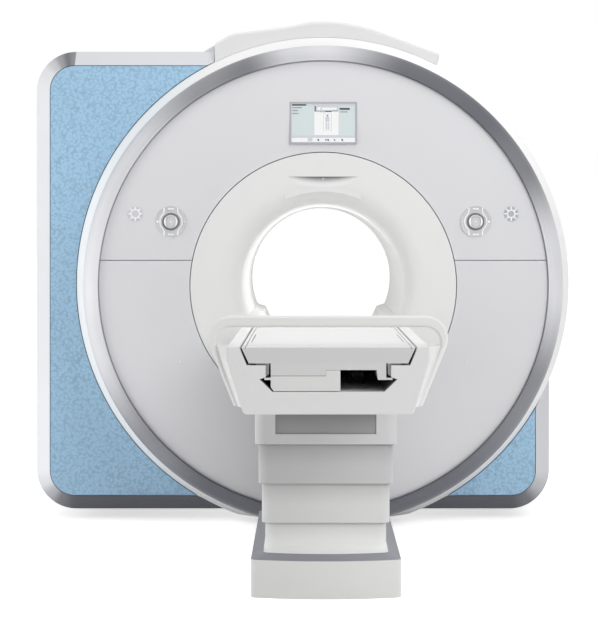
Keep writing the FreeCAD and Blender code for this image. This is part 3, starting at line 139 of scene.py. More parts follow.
class ScannerCoverSettings(bpy.types.PropertyGroup):
    """Round covers, ring, drums and funnels."""
    axis_height: length("Axis height", "Height of the bore axis above the floor", AXIS_HEIGHT)
    cover_radius: length("Cover radius", "Outer radius of the round cover",
                         radius_of("front_cover_upper"))
    ring_radius: length("Ring radius", "Outer radius of the silver ring", radius_of("front_ring"))
    funnel_radius: length("Funnel radius", "Outer radius of the funnel", radius_of("front_funnel"))
    bore_radius: length("Bore radius", "Inner radius of the bore",
                        AXIS_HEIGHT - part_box("bore_bridge")[0].z)
    drum_radius: length("Drum radius", "Radius of the drum where it meets the housing",
                        radius_of("front_drum"))
    front: length("Front plane", "Depth of the crest of the round cover",
                  front_of("front_cover_upper"))
    magnet_front: length("Seat plane", "Depth at which the covers seat on the magnet",
                         front_of("magnet_vessel"))
    bore_end: length("Bore end", "Depth at which the straight bore begins",
                     front_of("bore_liner"))
    crown: length("Crown", "How far the round cover bulges", 0.019)
    skin: length("Skin", "Wall of the moulded covers", 0.005)
    seam: length("Seam", "Open joint between covers", 0.003)
    seal_colour: colour("Seal", "Soft seal in the joint between cover and ring", 172, 173, 178)
    ring_gap: length("Ring gap", "Open joint between the round cover and the ring", 0.004)
    brow_half: length("Brow half width", "Half the width of the scoop above the bore", 0.153)
    brow_sink: length("Brow sink", "Depth of the scoop under its straight upper edge", 0.015)
    lens_radius: length("Lens radius", "Seat of the positioning light in the scoop", 0.005)
    funnel_slope: FloatProperty(name="Funnel slope", description="Lean of the funnel's face",
                                subtype="ANGLE", default=math.radians(15.6))
    segments: IntProperty(name="Segments", description="Steps round a full turn", default=288,
                          min=48)
    cover_colour: colour("Cover", "Moulded front and rear covers", 217, 217, 220)
    funnel_colour: colour("Funnel", "Funnels and bore", 231, 231, 230)
    drum_colour: colour("Drum", "Drums behind the ring", 253, 253, 253)
    # painted shadow under the scoop's straight upper edge
    brow_painted_shadow_tone: colour("Brow", "Scoop under its straight upper edge", 105, 105, 110)
    # painted highlight and painted shade: the ring's tone where its painted reflection is brightest
    # and darkest
    ring_painted_highlight: colour("Ring", "Brushed ring at its brightest", 240, 240, 243)
    ring_painted_shade: colour("Ring shade", "Brushed ring at its darkest", 88, 89, 97)


class ScannerHousingSettings(bpy.types.PropertyGroup):
    """Housing behind the drum."""
    panel_colour: colour("Panel", "Side panels", 161, 198, 225)
    panel_cell: length("Panel cell", "Size of one cell of the panel's texture", 0.012)
    silver_colour: colour("Silver", "Bevelled frame", 230, 231, 234)
    # painted shade: the frame's tone where it faces the floor and at its dark corner
    silver_painted_shade: colour("Silver shade", "Bevelled frame where it faces the floor", 70, 72, 80)
    gasket_radius: length("Gasket radius", "Radius of the rubber bead round a side panel", 0.0017)
    turret_colour: colour("Turret", "Roof turret", 220, 220, 221)


class ScannerScreenSettings(bpy.types.PropertyGroup):
    """Status screen above the bore."""
    field_colour: colour("Field", "Ground of the display", 205, 215, 216)
    page_colour: colour("Page", "White page in the middle", 237, 237, 238)
    bar_colour: colour("Bar", "Grey bars of the display", 200, 203, 208)
    ink_colour: colour("Ink", "Dark marks", 74, 74, 82)
    pale_ink_colour: colour("Pale ink", "Light marks", 150, 150, 156)
    bezel_colour: colour("Bezel", "Frame of the screen", 174, 175, 181)
    glow: share("Glow", "Light given off by the display", 0.05)


class ScannerControlSettings(bpy.types.PropertyGroup):
    """Dials and keys on the front cover."""
    key_colour: colour("Key", "Arrow keys, ridges and marks", 250, 250, 252)
    cap_colour: colour("Cap", "Push cap of the dial", 208, 208, 210)
    dish_colour: colour("Dish", "Round dish under the dial", 205, 205, 207)
    # painted shadow: a dark ring laid in the well round the dial
    well_painted_shadow_tone: colour("Well", "Rubber ring in the well round the dial", 138, 138, 141)
    dial_colour: colour("Dial", "Turning ring", 202, 202, 204)
    dish_radius: length("Dish radius", "Outer radius of the dish", 0.065)
    dish_sink: length("Dish sink", "Depth of the dish behind the front plane", 0.008)
    well_radius: length("Well radius", "Radius of the well round the dial", 0.03705)
    ridge_radius: length("Ridge radius", "Radius of the bead of a waisted ridge", 0.003)
    mark_thickness: length("Mark thickness", "Height of a printed or raised mark", 0.0008)
    lamp_radius: length("Lamp radius", "Radius of an indicator lamp", 0.0032)
    lamp_reach: length("Lamp reach", "Distance of an indicator lamp from the dial's middle", 0.0565)
    ray_count: IntProperty(name="Rays", description="Rays or blades of a pictogram", default=8,
                           min=3)


class ScannerTableSettings(bpy.types.PropertyGroup):
    """Table and its pedestal."""
    board_colour: colour("Board", "Tabletop board", 233, 233, 233)
    shell_colour: colour("Shell", "Table shell and end cap", 219, 219, 219)
    loop_colour: colour("Loop", "Handle loop", 226, 226, 225)
    carrier_colour: colour("Carrier", "Carrier under the board", 206, 206, 207)
    # painted shadow: the near-black inside of the table
    trough_inside_painted_shadow: colour("Cavity", "Painted inside of the table", 30, 30, 32)
    # lit and shaded copies of one plastic: painted shade on the upper sleeves, painted light on the
    # foot sleeve
    top_sleeve_painted_shade: colour("Top sleeve", "Sleeve under the table", 205, 205, 206)
    upper_sleeve_painted_shade: colour("Upper sleeve", "Second sleeve from the top", 194, 194, 194)
    lower_sleeve_painted_shade: colour("Lower sleeve", "Third sleeve from the top", 217, 217, 216)
    foot_sleeve_painted_light: colour("Foot sleeve", "Fixed sleeve with the flared foot", 242, 242, 241)
    plate_colour: colour("Plate", "Plate between the foot and the trim", 248, 248, 248)
    plinth_colour: colour("Plinth", "Plinth cover", 224, 224, 222)
    trim_colour: colour("Trim", "Bevelled trim on the plinth", 148, 149, 156)
    # painted shadow on the panel in the window: darkest at its upper edge
    recess_painted_shadow_top: colour("Recess", "Upper edge of the panel in the window", 72, 72, 75)
    recess_painted_shadow_foot: colour("Window panel", "Lower edge of the same panel", 152, 152, 153)
    box_colour: colour("Drive box", "Box under the carrier", 216, 216, 215)
    lip_radius: length("Lip radius", "Radius of the wiper lip on a sleeve", 0.0022)


class ScannerStageSettings(bpy.types.PropertyGroup):
    """Camera, floor and lamps."""
    camera_x: length("Camera X", "Camera left or right of the bore axis", -0.056)
    camera_y: length("Camera Y", "Camera in front of the isocentre", -8.245)
    camera_z: length("Camera Z", "Height of the camera", 1.268)
    lens: FloatProperty(name="Lens", description="Focal length in millimetres", default=105.35,
                        min=1)
    ambient: share("Ambient", "Strength of the even studio light", 0.475)
    floor_tone: share("Floor tone", "Tone of the floor", 0.92)
    floor_glow: share("Floor glow", "Light that the floor adds where it is seen plainly", 0.62)
    key_power: power("Key power", "Large soft lamp, front right", 170)
    fill_power: power("Fill power", "Large soft lamp, far left", 140)
    top_power: power("Top power", "Soft lamp overhead", 92)
    bore_power: power("Bore power", "Soft lamp inside the bore", 2.4)
    mouth_power: power("Mouth power", "Soft lamp in front of the bore", 0.32)


SETTINGS = {
    "scanner_covers": ScannerCoverSettings,
    "scanner_housing": ScannerHousingSettings,
    "scanner_screen": ScannerScreenSettings,
    "scanner_controls": ScannerControlSettings,
    "scanner_table": ScannerTableSettings,
    "scanner_stage": ScannerStageSettings,
}


# ---- node trees ----

class Graph:
    """Adds linked nodes to one node tree."""

    def __init__(self, tree):
        self.tree = tree

    def feed(self, socket, source):
        """Links a socket to another one or sets its value."""
        if isinstance(source, bpy.types.NodeSocket):
            self.tree.links.new(source, socket)
        else:
            socket.default_value = source

    def add(self, kind, inputs=None, **settings):
        node = self.tree.nodes.new(kind)
        for key, value in settings.items():
            setattr(node, key, value)
        for key, source in (inputs or {}).items():
            self.feed(node.inputs[key], source)
        return node

    def math(self, operation, *sources):
        node = self.add("ShaderNodeMath", operation=operation)
        for socket, source in zip(node.inputs, sources):
            self.feed(socket, source)
        return node.outputs[0]

    def squares(self, first, second):
        """Sum of two squares."""
        return self.math("ADD", self.math("MULTIPLY", first, first),
                         self.math("MULTIPLY", second, second))

    def turn(self, angle):
        """Share of a full turn, from 0 to 1."""
        return self.math("FRACT", self.math("ADD", self.math("DIVIDE", angle, math.tau), 1.0))

    def remap(self, value, low, high, to_low=0.0, to_high=1.0):
        node = self.add("ShaderNodeMapRange", {
            "Value": value, "From Min": low, "From Max": high, "To Min": to_low, "To Max": to_high,
        }, interpolation_type="SMOOTHSTEP")
        return node.outputs["Result"]

    def vector_math(self, operation, first, second):
        node = self.add("ShaderNodeVectorMath", operation=operation)
        self.feed(node.inputs[0], first)
        self.feed(node.inputs[1], second)
        return node.outputs["Value" if operation == "DOT_PRODUCT" else "Vector"]

    def vector(self, **axes):
        return self.add("ShaderNodeCombineXYZ", axes).outputs["Vector"]

    def parts(self, vector):
        return self.add("ShaderNodeSeparateXYZ", {"Vector": vector}).outputs

    def stretched(self, vector, scale):
        return self.add("ShaderNodeMapping", {"Vector": vector, "Scale": scale}).outputs["Vector"]

    def object_point(self):
        return self.add("ShaderNodeTexCoord").outputs["Object"]

    def normal(self):
        return self.add("ShaderNodeNewGeometry").outputs["Normal"]

    def noise(self, vector, scale, detail=2.0, roughness=0.5):
        node = self.add("ShaderNodeTexNoise", {
            "Vector": vector, "Scale": scale, "Detail": detail, "Roughness": roughness,
        })
        return node.outputs["Fac"]

    def toned(self, tint, value):
        node = self.add("ShaderNodeHueSaturation", {"Color": tint, "Value": value})
        return node.outputs["Color"]

    def blend(self, factor, first, second):
        node = self.add("ShaderNodeMix", data_type="RGBA")
        self.feed(node.inputs[0], factor)
        self.feed(node.inputs[6], first)
        self.feed(node.inputs[7], second)
        return node.outputs[2]

    def seen_plainly(self):
        """One where a surface is seen directly, in a reflection or through glass."""
        path = self.add("ShaderNodeLightPath").outputs
        seen = self.math("MAXIMUM", path["Is Camera Ray"], path["Is Glossy Ray"])
        return self.math("MAXIMUM", seen, path["Is Transmission Ray"])


FLOAT = "NodeSocketFloat"
INT = "NodeSocketInt"
VECTOR = "NodeSocketVector"
COLOUR = "NodeSocketColor"
ALONG = ("Along X", "Along Y", "Along Z")

# painted reflection and painted shade by the share of a full turn, from the right over the top
RING_PAINTED_REFLECTION = {
    0.0: 0.74, 0.03: 0.74, 0.085: 0.15, 0.13: 0.06, 0.19: 0.07, 0.25: 0.73, 0.272: 0.66,
    0.305: 0.14, 0.335: 0.24, 0.4: 0.7, 0.5: 0.87, 0.54: 0.73, 0.62: 0.17, 0.67: 0.03,
    0.83: 0.03, 0.93: 0.15, 1.0: 0.74,
}
# painted reflection and painted shade of the silver frame, by the way its faces turn
SILVER_PAINTED_REFLECTION = {
    0.0: 0.68, 0.12: 0.7, 0.25: 0.76, 0.2535: 0.72, 0.263: 0.2, 0.288: 0.1, 0.322: 0.3,
    0.36: 0.64, 0.41: 0.9, 0.5: 0.95, 0.56: 0.84, 0.625: 0.45, 0.68: 0.12, 0.75: 0.0,
    0.83: 0.08, 0.92: 0.5, 1.0: 0.68,
}


def shader_group(name, inputs, outputs):
    """New shader node group; returns its graph, its given values and its results to feed."""
    tree = bpy.data.node_groups.new(name, "ShaderNodeTree")
    for label, kind, default in inputs:
        socket = tree.interface.new_socket(name=label, in_out="INPUT", socket_type=kind)
        socket.default_value = default
    for label, kind in outputs:
        tree.interface.new_socket(name=label, in_out="OUTPUT", socket_type=kind)
    graph = Graph(tree)
    source = graph.add("NodeGroupInput")
    return graph, source.outputs, graph.add("NodeGroupOutput").inputs


def along_inputs(*defaults):
    """One number input for each axis."""
    return [(label, FLOAT, value) for label, value in zip(ALONG, defaults)]


def along_vector(graph, given):
    return graph.vector(**{label[-1]: given[label] for label in ALONG})


def make_moulded_skin():
    """Moulded or painted skin: slow drift of tone, patchy gloss and a fine grain."""
    graph, given, result = shader_group("moulded_skin", [
        ("Colour", COLOUR, (0.8, 0.8, 0.8, 1)), ("Roughness", FLOAT, 0.4), ("Drift", FLOAT, 0.03),
        ("Smears", FLOAT, 0.1), ("Grain size", FLOAT, 0.0015),
    ], [("Colour", COLOUR), ("Roughness", FLOAT), ("Height", FLOAT)])
    point = graph.object_point()
    slow = graph.math("SUBTRACT", graph.noise(point, 1.9, 3.0), 0.5)
    fleck = graph.math("SUBTRACT", graph.noise(point, 85.0, 4.0, 0.65), 0.5)
    tone = graph.math("MULTIPLY_ADD", fleck, 0.5, slow)
    tone = graph.math("MULTIPLY_ADD", tone, graph.math("MULTIPLY", given["Drift"], 2.0), 1.0)
    tinted = graph.toned(given["Colour"], tone)
    smear = graph.math("SUBTRACT", graph.noise(point, 11.0, 5.0, 0.6), 0.5)
    patchy = graph.math("MULTIPLY", given["Smears"], 2.0)
    rough = graph.math("MULTIPLY_ADD", smear, patchy, given["Roughness"])
    grain = graph.noise(point, graph.math("DIVIDE", 1.0, given["Grain size"]), 1.0)
    graph.feed(result["Colour"], tinted)
    graph.feed(result["Roughness"], graph.math("MAXIMUM", rough, 0.05))
    graph.feed(result["Height"], grain)


def make_floor_wear():
    """Scuffs and dust that fade out upwards from the floor."""
    graph, given, result = shader_group(
        "floor_wear", [("Reach", FLOAT, 0.3), ("Amount", FLOAT, 0.3)], [("Mask", FLOAT)])
    point = graph.object_point()
    low = graph.remap(graph.parts(point)["Z"], given["Reach"], 0.0)
    scuff = graph.noise(graph.stretched(point, (9.0, 9.0, 60.0)), 1.0, 6.0, 0.62)
    scuff = graph.remap(scuff, 0.6, 0.78)
    dust = graph.remap(graph.noise(point, 4.0, 4.0), 0.35, 0.8)
    both = graph.math("MULTIPLY", graph.math("MULTIPLY_ADD", scuff, 0.35, dust), low)
    graph.feed(result["Mask"], graph.math("MULTIPLY", both, given["Amount"]))


def make_hairlines():
    """Fine scratches that run mostly along one direction."""
    graph, given, result = shader_group(
        "hairlines", along_inputs(60.0, 4.0, 60.0), [("Mask", FLOAT), ("Height", FLOAT)])
    point = graph.vector_math("MULTIPLY", graph.object_point(), along_vector(graph, given))
    lines = graph.noise(point, 1.0, 5.0, 0.7)
    graph.feed(result["Mask"], graph.remap(lines, 0.58, 0.75))
    graph.feed(result["Height"], lines)


def sweep_ramp(graph, turn, stops):
    """Tone round a full turn, eased between its stops."""
    ramp = graph.add("ShaderNodeValToRGB", {"Fac": turn})
    ramp.color_ramp.interpolation = "EASE"
    elements = ramp.color_ramp.elements
    elements[0].color = rgba([stops[0.0]] * 3)
    elements[1].color = rgba([stops[1.0]] * 3)
    for place, value in stops.items():
        if 0 < place < 1:
            elements.new(place).color = rgba([value] * 3)
    return ramp.outputs["Color"]


def make_round_brush():
    """Brushed metal turned about the bore axis: fine brushed rings, and a painted reflection that
    sweeps bright and dark round the turn.
    """
    graph, given, result = shader_group(
        "brushed_rings_and_painted_reflection", [("Axis height", FLOAT, AXIS_HEIGHT), ("Grooves", FLOAT, 900.0)],
        [("Streak", FLOAT), ("Painted reflection", FLOAT)])
    part = graph.parts(graph.object_point())
    x = part["X"]
    z = graph.math("SUBTRACT", part["Z"], given["Axis height"])
    radius = graph.math("SQRT", graph.squares(x, z))
    angle = graph.math("ARCTAN2", z, x)
    groove = graph.vector(
        X=graph.math("MULTIPLY", radius, given["Grooves"]),
        Y=graph.math("MULTIPLY", part["Y"], given["Grooves"]),
        Z=graph.math("MULTIPLY", angle, 2.5),
    )
    graph.feed(result["Streak"], graph.noise(groove, 1.0, 3.0, 0.6))
    graph.feed(result["Painted reflection"], sweep_ramp(graph, graph.turn(angle), RING_PAINTED_REFLECTION))


def make_cells():
    """Pebbled panel: small rounded cells with soft shallow valleys between them."""
    graph, given, result = shader_group(
        "cells", [("Cell size", FLOAT, 0.019)], [("Valley", FLOAT), ("Height", FLOAT)])
    point = graph.object_point()
    flat = graph.stretched(point, (1.0, 0.02, 1.0))
    cell = graph.add("ShaderNodeTexVoronoi", {
        "Vector": flat, "Scale": graph.math("DIVIDE", 1.0, given["Cell size"]),
        "Randomness": 0.9, "Smoothness": 0.5,
    }, feature="SMOOTH_F1")
    patch = graph.remap(graph.noise(flat, 36.0, 3.0), 0.3, 0.7, 0.6, 1.0)
    dome = graph.math("MULTIPLY", graph.remap(cell.outputs["Distance"], 0.32, 0.75), patch)
    fine = graph.math("MULTIPLY", graph.noise(point, 420.0, 2.0), 0.15)
    graph.feed(result["Valley"], dome)
    graph.feed(result["Height"], graph.math("SUBTRACT", fine, dome))


def make_facing():
    """Mask of the faces that look along one direction, where painted light or painted shade goes."""
    graph, given, result = shader_group("facing", along_inputs(0.0, 0.0, 1.0), [("Mask", FLOAT)])
    dot = graph.vector_math("DOT_PRODUCT", graph.normal(), along_vector(graph, given))
    graph.feed(result["Mask"], graph.remap(dot, 0.6, 0.95))


def make_height_fade():
    """Mask that rises from none to full between two heights, which may bow upwards."""
    graph, given, result = shader_group(
        "height_fade", [("None at", FLOAT, 0.0), ("Full at", FLOAT, 1.0), ("Bow", FLOAT, 0.0)],
        [("Mask", FLOAT)])
    part = graph.parts(graph.object_point())
    aside = graph.math("MULTIPLY", part["X"], part["X"])
    height = graph.math("SUBTRACT", part["Z"], graph.math("MULTIPLY", aside, given["Bow"]))
    graph.feed(result["Mask"], graph.remap(height, given["None at"], given["Full at"]))


def make_stepped_joint():
    """Dark line of the joint along the top of the drive box, which steps up at one point."""
    graph, given, result = shader_group("stepped_joint", [
        ("Step x", FLOAT, 0.0), ("Low height", FLOAT, 0.0), ("High height", FLOAT, 0.0),
        ("Width", FLOAT, 0.001),
    ], [("Mask", FLOAT)])
    part = graph.parts(graph.object_point())
    right = graph.math("GREATER_THAN", part["X"], given["Step x"])
    rise = graph.math("SUBTRACT", given["High height"], given["Low height"])
    edge = graph.math("MULTIPLY_ADD", right, rise, given["Low height"])
    along = graph.math("GREATER_THAN", part["Z"], graph.math("SUBTRACT", edge, given["Width"]))
    aside = graph.math("ABSOLUTE", graph.math("SUBTRACT", part["X"], given["Step x"]))
    upright = graph.math("LESS_THAN", aside, graph.math("MULTIPLY", given["Width"], 0.5))
    above = graph.math("GREATER_THAN", part["Z"], given["Low height"])
    upright = graph.math("MULTIPLY", upright, above)
    graph.feed(result["Mask"], graph.math("MAXIMUM", along, upright))


def make_silver_sweep():
    """Painted reflection and painted shade of the silver by the way a bevel faces: painted highlight
    at the left and top, painted shade below.
    """
    graph, given, result = shader_group(
        "silver_painted_reflection", [("Flat tone", FLOAT, 0.8)], [("Tone", FLOAT)])
    part = graph.parts(graph.normal())
    x, z = part["X"], part["Z"]
    tone = sweep_ramp(graph, graph.turn(graph.math("ARCTAN2", z, x)), SILVER_PAINTED_REFLECTION)
    tilt = graph.remap(graph.squares(x, z), 0.03, 0.25)
    far = graph.math("MULTIPLY", graph.math("SUBTRACT", 1.0, tilt), given["Flat tone"])
    graph.feed(result["Tone"], graph.math("MULTIPLY_ADD", tone, tilt, far))


def group_node(graph, name, inputs):
    """Adds a shared group with these inputs and returns its outputs."""
    node = graph.add("ShaderNodeGroup", node_tree=bpy.data.node_groups[name])
    for key, source in inputs.items():
        graph.feed(node.inputs[key], source)
    return node.outputs


def skin_of(graph, tint, roughness, drift, grain=0.0015):
    """Moulded skin of a colour, with the outputs Colour, Roughness and Height."""
    return group_node(graph, "moulded_skin", {
        "Colour": rgba(tint), "Roughness": roughness, "Drift": drift, "Grain size": grain,
    })


def new_material(name):
    """Material with one Principled shader; returns its graph and the shader's inputs."""
    material = bpy.data.materials.new(name)
    material.use_nodes = True
    tree = material.node_tree
    return material, Graph(tree), tree.nodes["Principled BSDF"].inputs


def bump(graph, shader, height, strength, distance):
    """Lets a height tilt the light on a surface."""
    node = graph.add("ShaderNodeBump", {
        "Height": height, "Strength": strength, "Distance": distance,
    })
    graph.feed(shader["Normal"], node.outputs["Normal"])


def moulded(name, tint, roughness=0.38, drift=0.02, grain=0.0016, depth=0.00004, coat=0.0,
            wear=None, sheen=0.5, facing=None, fade=None):
    """Moulded plastic or smooth paint.

    Optional: wear near the floor (reach, amount), painted light or painted shade on faces that look
    one way (direction, tint) and painted shade that grows with height (none at, full at, bow, tint).
    """
    material, graph, shader = new_material(name)
    skin = skin_of(graph, tint, roughness, drift, grain)
    layers = []
    if wear:
        layers.append(("floor_wear", dict(zip(("Reach", "Amount"), wear)), darker(tint, 0.45)))
    if facing:
        layers.append(("facing", dict(zip(ALONG, facing[0])), facing[1]))
    if fade:
        layers.append(("height_fade", dict(zip(("None at", "Full at", "Bow"), fade)), fade[3]))
    base = skin["Colour"]
    for effect, inputs, other in layers:
        base = graph.blend(group_node(graph, effect, inputs)["Mask"], base, rgba(other))
    graph.feed(shader["Base Color"], base)
    graph.feed(shader["Roughness"], skin["Roughness"])
    shader["Specular IOR Level"].default_value = sheen
    shader["Coat Weight"].default_value = coat
    shader["Coat Roughness"].default_value = 0.15
    bump(graph, shader, skin["Height"], 0.5, depth)
    return material


def boxed(name, tint, step, low, high):
    """Painted box with the dark line of its joint."""
    material, graph, shader = new_material(name)
    skin = skin_of(graph, tint, 0.42, 0.03)
    joint = group_node(graph, "stepped_joint", {
        "Step x": step, "Low height": low, "High height": high, "Width": 0.0013,
    })
    line = graph.math("MULTIPLY", joint["Mask"], 0.7)
    base = graph.blend(line, skin["Colour"], rgba(linear(60, 60, 62)))
    graph.feed(shader["Base Color"], base)
    graph.feed(shader["Roughness"], skin["Roughness"])
    bump(graph, shader, skin["Height"], 0.5, 0.00004)
    return material


def brushed(name, bright, dark):
    """Metal ring, brushed in circles about the bore axis, with a painted reflection and painted
    shade round the turn.
    """
    material, graph, shader = new_material(name)
    brush = group_node(graph, "brushed_rings_and_painted_reflection", {})
    # painted reflection: the tone runs between painted shade and painted highlight round the turn
    lit = graph.blend(brush["Painted reflection"], rgba(dark), rgba(bright))
    streak = graph.remap(brush["Streak"], 0.3, 0.75, 0.93, 1.05)
    graph.feed(shader["Base Color"], graph.toned(lit, streak))
    graph.feed(shader["Roughness"], graph.remap(brush["Streak"], 0.25, 0.8, 0.34, 0.5))
    shader["Metallic"].default_value = 0.5
    bump(graph, shader, brush["Streak"], 0.3, 0.00005)
    return material


def drawn_metal(name, tint, roughness=0.32, along=(320.0, 6.0, 320.0), metallic=0.9):
    """Extruded or ground metal with fine lines along its length."""
    material, graph, shader = new_material(name)
    lines = group_node(graph, "hairlines", dict(zip(ALONG, along)))
    skin = skin_of(graph, tint, roughness, 0.06)
    scratch = graph.math("MULTIPLY", lines["Mask"], 0.25)
    base = graph.blend(scratch, skin["Colour"], rgba(darker(tint, 0.6)))
    graph.feed(shader["Base Color"], base)
    graph.feed(shader["Roughness"], skin["Roughness"])
    shader["Metallic"].default_value = metallic
    bump(graph, shader, lines["Height"], 0.35, 0.00006)
    return material


def silver_paint(name, tint, shade):
    """Metallic silver paint with a painted reflection and painted shade by the way it faces: grey
    where it faces the floor and at the corners.
    """
    material, graph, shader = new_material(name)
    skin = skin_of(graph, tint, 0.34, 0.008, 0.0007)
    # painted reflection and painted shade by the way the frame faces
    tone = group_node(graph, "silver_painted_reflection", {})["Tone"]
    flake = graph.remap(graph.noise(graph.object_point(), 900.0, 1.0), 0.3, 0.7, 0.99, 1.01)
    base = graph.toned(graph.blend(tone, rgba(shade), skin["Colour"]), flake)
    graph.feed(shader["Base Color"], base)
    graph.feed(shader["Roughness"], skin["Roughness"])
    shader["Metallic"].default_value = 0.3
    shader["Coat Weight"].default_value = 0.3
    bump(graph, shader, skin["Height"], 0.3, 0.00003)
    return material


def pebbled(name, tint, cell):
    """Side panel: blue skin with a pebbled cell texture."""
    material, graph, shader = new_material(name)
    cells = group_node(graph, "cells", {"Cell size": cell})
    skin = skin_of(graph, tint, 0.45, 0.03)
    valley = graph.math("MULTIPLY", cells["Valley"], 0.8)
    base = graph.blend(valley, skin["Colour"], rgba(darker(tint, 0.7)))
    graph.feed(shader["Base Color"], base)
    graph.feed(shader["Roughness"], skin["Roughness"])
    bump(graph, shader, cells["Height"], 0.35, 0.0005)
    return material


def glowing(name, tint, strength, roughness=0.25):
    """Backlit surface of the display or of an indicator lamp."""
    material, graph, shader = new_material(name)
    skin = skin_of(graph, tint, roughness, 0.01, 0.0008)
    graph.feed(shader["Base Color"], skin["Colour"])
    graph.feed(shader["Roughness"], skin["Roughness"])
    graph.feed(shader["Emission Color"], skin["Colour"])
    shader["Emission Strength"].default_value = strength
    return material


def finish_of(name, build, *values, **options):
    """Material of that name, made on first use."""
    return bpy.data.materials.get(name) or build(name, *values, **options)


def dress(material, *nodes):
    """Gives CAD nodes a material."""
    for node in nodes:
        for slot in frame["nodes"][node].material_slots:
            slot.material = material


# ---- geometry ----

def new_object(name, mesh):
    """Object of a mesh, linked to the scene."""
    item = bpy.data.objects.new(name, mesh)
    bpy.context.scene.collection.objects.link(item)
    return item


def blank(name):
    """Empty object for a geometry tree to fill."""
    return new_object(name, bpy.data.meshes.new(name))


def outward(mesh, merge=True):
    """Turns every face outwards, after merging doubles where neighbours may join."""
    shape = bmesh.new()
    shape.from_mesh(mesh)
    if merge:
        bmesh.ops.remove_doubles(shape, verts=shape.verts, dist=1e-6)
    bmesh.ops.recalc_face_normals(shape, faces=shape.faces)
    shape.to_mesh(mesh)
    shape.free()


def mesh_of(shape, name):
    """Plain mesh of an edit mesh, which is freed."""
    mesh = bpy.data.meshes.new(name)
    shape.to_mesh(mesh)
    shape.free()
    return mesh


def smooth(mesh, limit=30):
    """Smooth shading with sharp edges where faces meet at more than the limit in degrees."""
    mesh.shade_smooth()
    mesh.set_sharp_from_angle(angle=math.radians(limit))


def settled(item):
    """Turns an object's modifiers into plain mesh."""
    bpy.context.view_layer.update()
    graph = bpy.context.evaluated_depsgraph_get()
    mesh = bpy.data.meshes.new_from_object(item.evaluated_get(graph), preserve_all_data_layers=True,
                                           depsgraph=graph)
    item.modifiers.clear()
    item.data = mesh
    return item


def grown(item, name, material, **values):
    """Runs a geometry tree on an object with named inputs and keeps the result as plain mesh."""
    tree = bpy.data.node_groups[name]
    modifier = item.modifiers.new(tree.name, "NODES")
    modifier.node_group = tree
    names = {socket.name: socket.identifier for socket in tree.interface.items_tree
             if socket.item_type == "SOCKET" and socket.in_out == "INPUT"}
    modifier[names["Material"]] = material
    for label, value in values.items():
        modifier[names[label.replace("_", " ").capitalize()]] = value
    settled(item)
    if not item.data.polygons:
        raise RuntimeError(f"{item.name} came out empty")
    if not item.data.materials:
        item.data.materials.append(material)
    return item


def geometry_group(name, inputs):
    """New geometry node tree with the named inputs; returns what a shader group does."""
    tree = bpy.data.node_groups.new(name, "GeometryNodeTree")
    tree.interface.new_socket(name="Geometry", in_out="INPUT", socket_type="NodeSocketGeometry")
    for label, kind, default in inputs:
        socket = tree.interface.new_socket(name=label, in_out="INPUT", socket_type=kind)
        socket.default_value = default
    tree.interface.new_socket(name="Material", in_out="INPUT", socket_type="NodeSocketMaterial")
    tree.interface.new_socket(name="Geometry", in_out="OUTPUT", socket_type="NodeSocketGeometry")
    graph = Graph(tree)
    source = graph.add("NodeGroupInput")
    return graph, source.outputs, graph.add("NodeGroupOutput").inputs


def close_tree(graph, given, result, geometry):
    """Ends a tree in realized instances with the given material."""
    real = graph.add("GeometryNodeRealizeInstances", {"Geometry": geometry})
    dressed = graph.add("GeometryNodeSetMaterial", {
        "Geometry": real.outputs[0], "Material": given["Material"],
    })
    graph.feed(result["Geometry"], dressed.outputs[0])


def round_bead(graph, curve, radius, steps, capped):
    """Smooth round bead along a curve."""
    section = graph.add("GeometryNodeCurvePrimitiveCircle", {"Radius": radius, "Resolution": steps})
    bead = graph.add("GeometryNodeCurveToMesh", {
        "Curve": curve, "Profile Curve": section.outputs[0], "Fill Caps": capped,
    })
    return graph.add("GeometryNodeSetShadeSmooth", {"Geometry": bead.outputs[0]}).outputs[0]


def make_turned_shell():
    """Turns a closed outline, drawn as points of (radius, depth), about a line along Y."""
    graph, given, result = geometry_group("turned_shell", [
        ("Segments", INT, 96), ("Axis x", FLOAT, 0.0), ("Axis height", FLOAT, 0.0),
    ])
    outline = graph.add("GeometryNodeAttributeDomainSize", {"Geometry": given["Geometry"]})
    count = outline.outputs["Point Count"]
    across = graph.math("ADD", count, 1.0)
    around = graph.math("ADD", given["Segments"], 1.0)
    grid = graph.add("GeometryNodeMeshGrid", {"Vertices X": across, "Vertices Y": around})
    index = graph.add("GeometryNodeInputIndex").outputs[0]
    column = graph.math("FLOOR", graph.math("DIVIDE", graph.math("ADD", index, 0.5), around))
    row = graph.math("SUBTRACT", index, graph.math("MULTIPLY", column, around))
    sample = graph.add("GeometryNodeSampleIndex", {
        "Geometry": given["Geometry"],
        "Value": graph.add("GeometryNodeInputPosition").outputs[0],
        "Index": graph.math("MODULO", column, count),
    }, data_type="FLOAT_VECTOR")
    point = graph.parts(sample.outputs[0])
    angle = graph.math("MULTIPLY", graph.math("DIVIDE", row, given["Segments"]), math.tau)
    aside, upwards = graph.math("COSINE", angle), graph.math("SINE", angle)
    place = graph.vector(
        X=graph.math("MULTIPLY_ADD", point["X"], aside, given["Axis x"]),
        Y=point["Y"],
        Z=graph.math("MULTIPLY_ADD", point["X"], upwards, given["Axis height"]),
    )
    moved = graph.add("GeometryNodeSetPosition", {
        "Geometry": grid.outputs["Mesh"], "Position": place,
    })
    merged = graph.add("GeometryNodeMergeByDistance", {
        "Geometry": moved.outputs[0], "Distance": 1e-6,
    })
    close_tree(graph, given, result, merged.outputs[0])


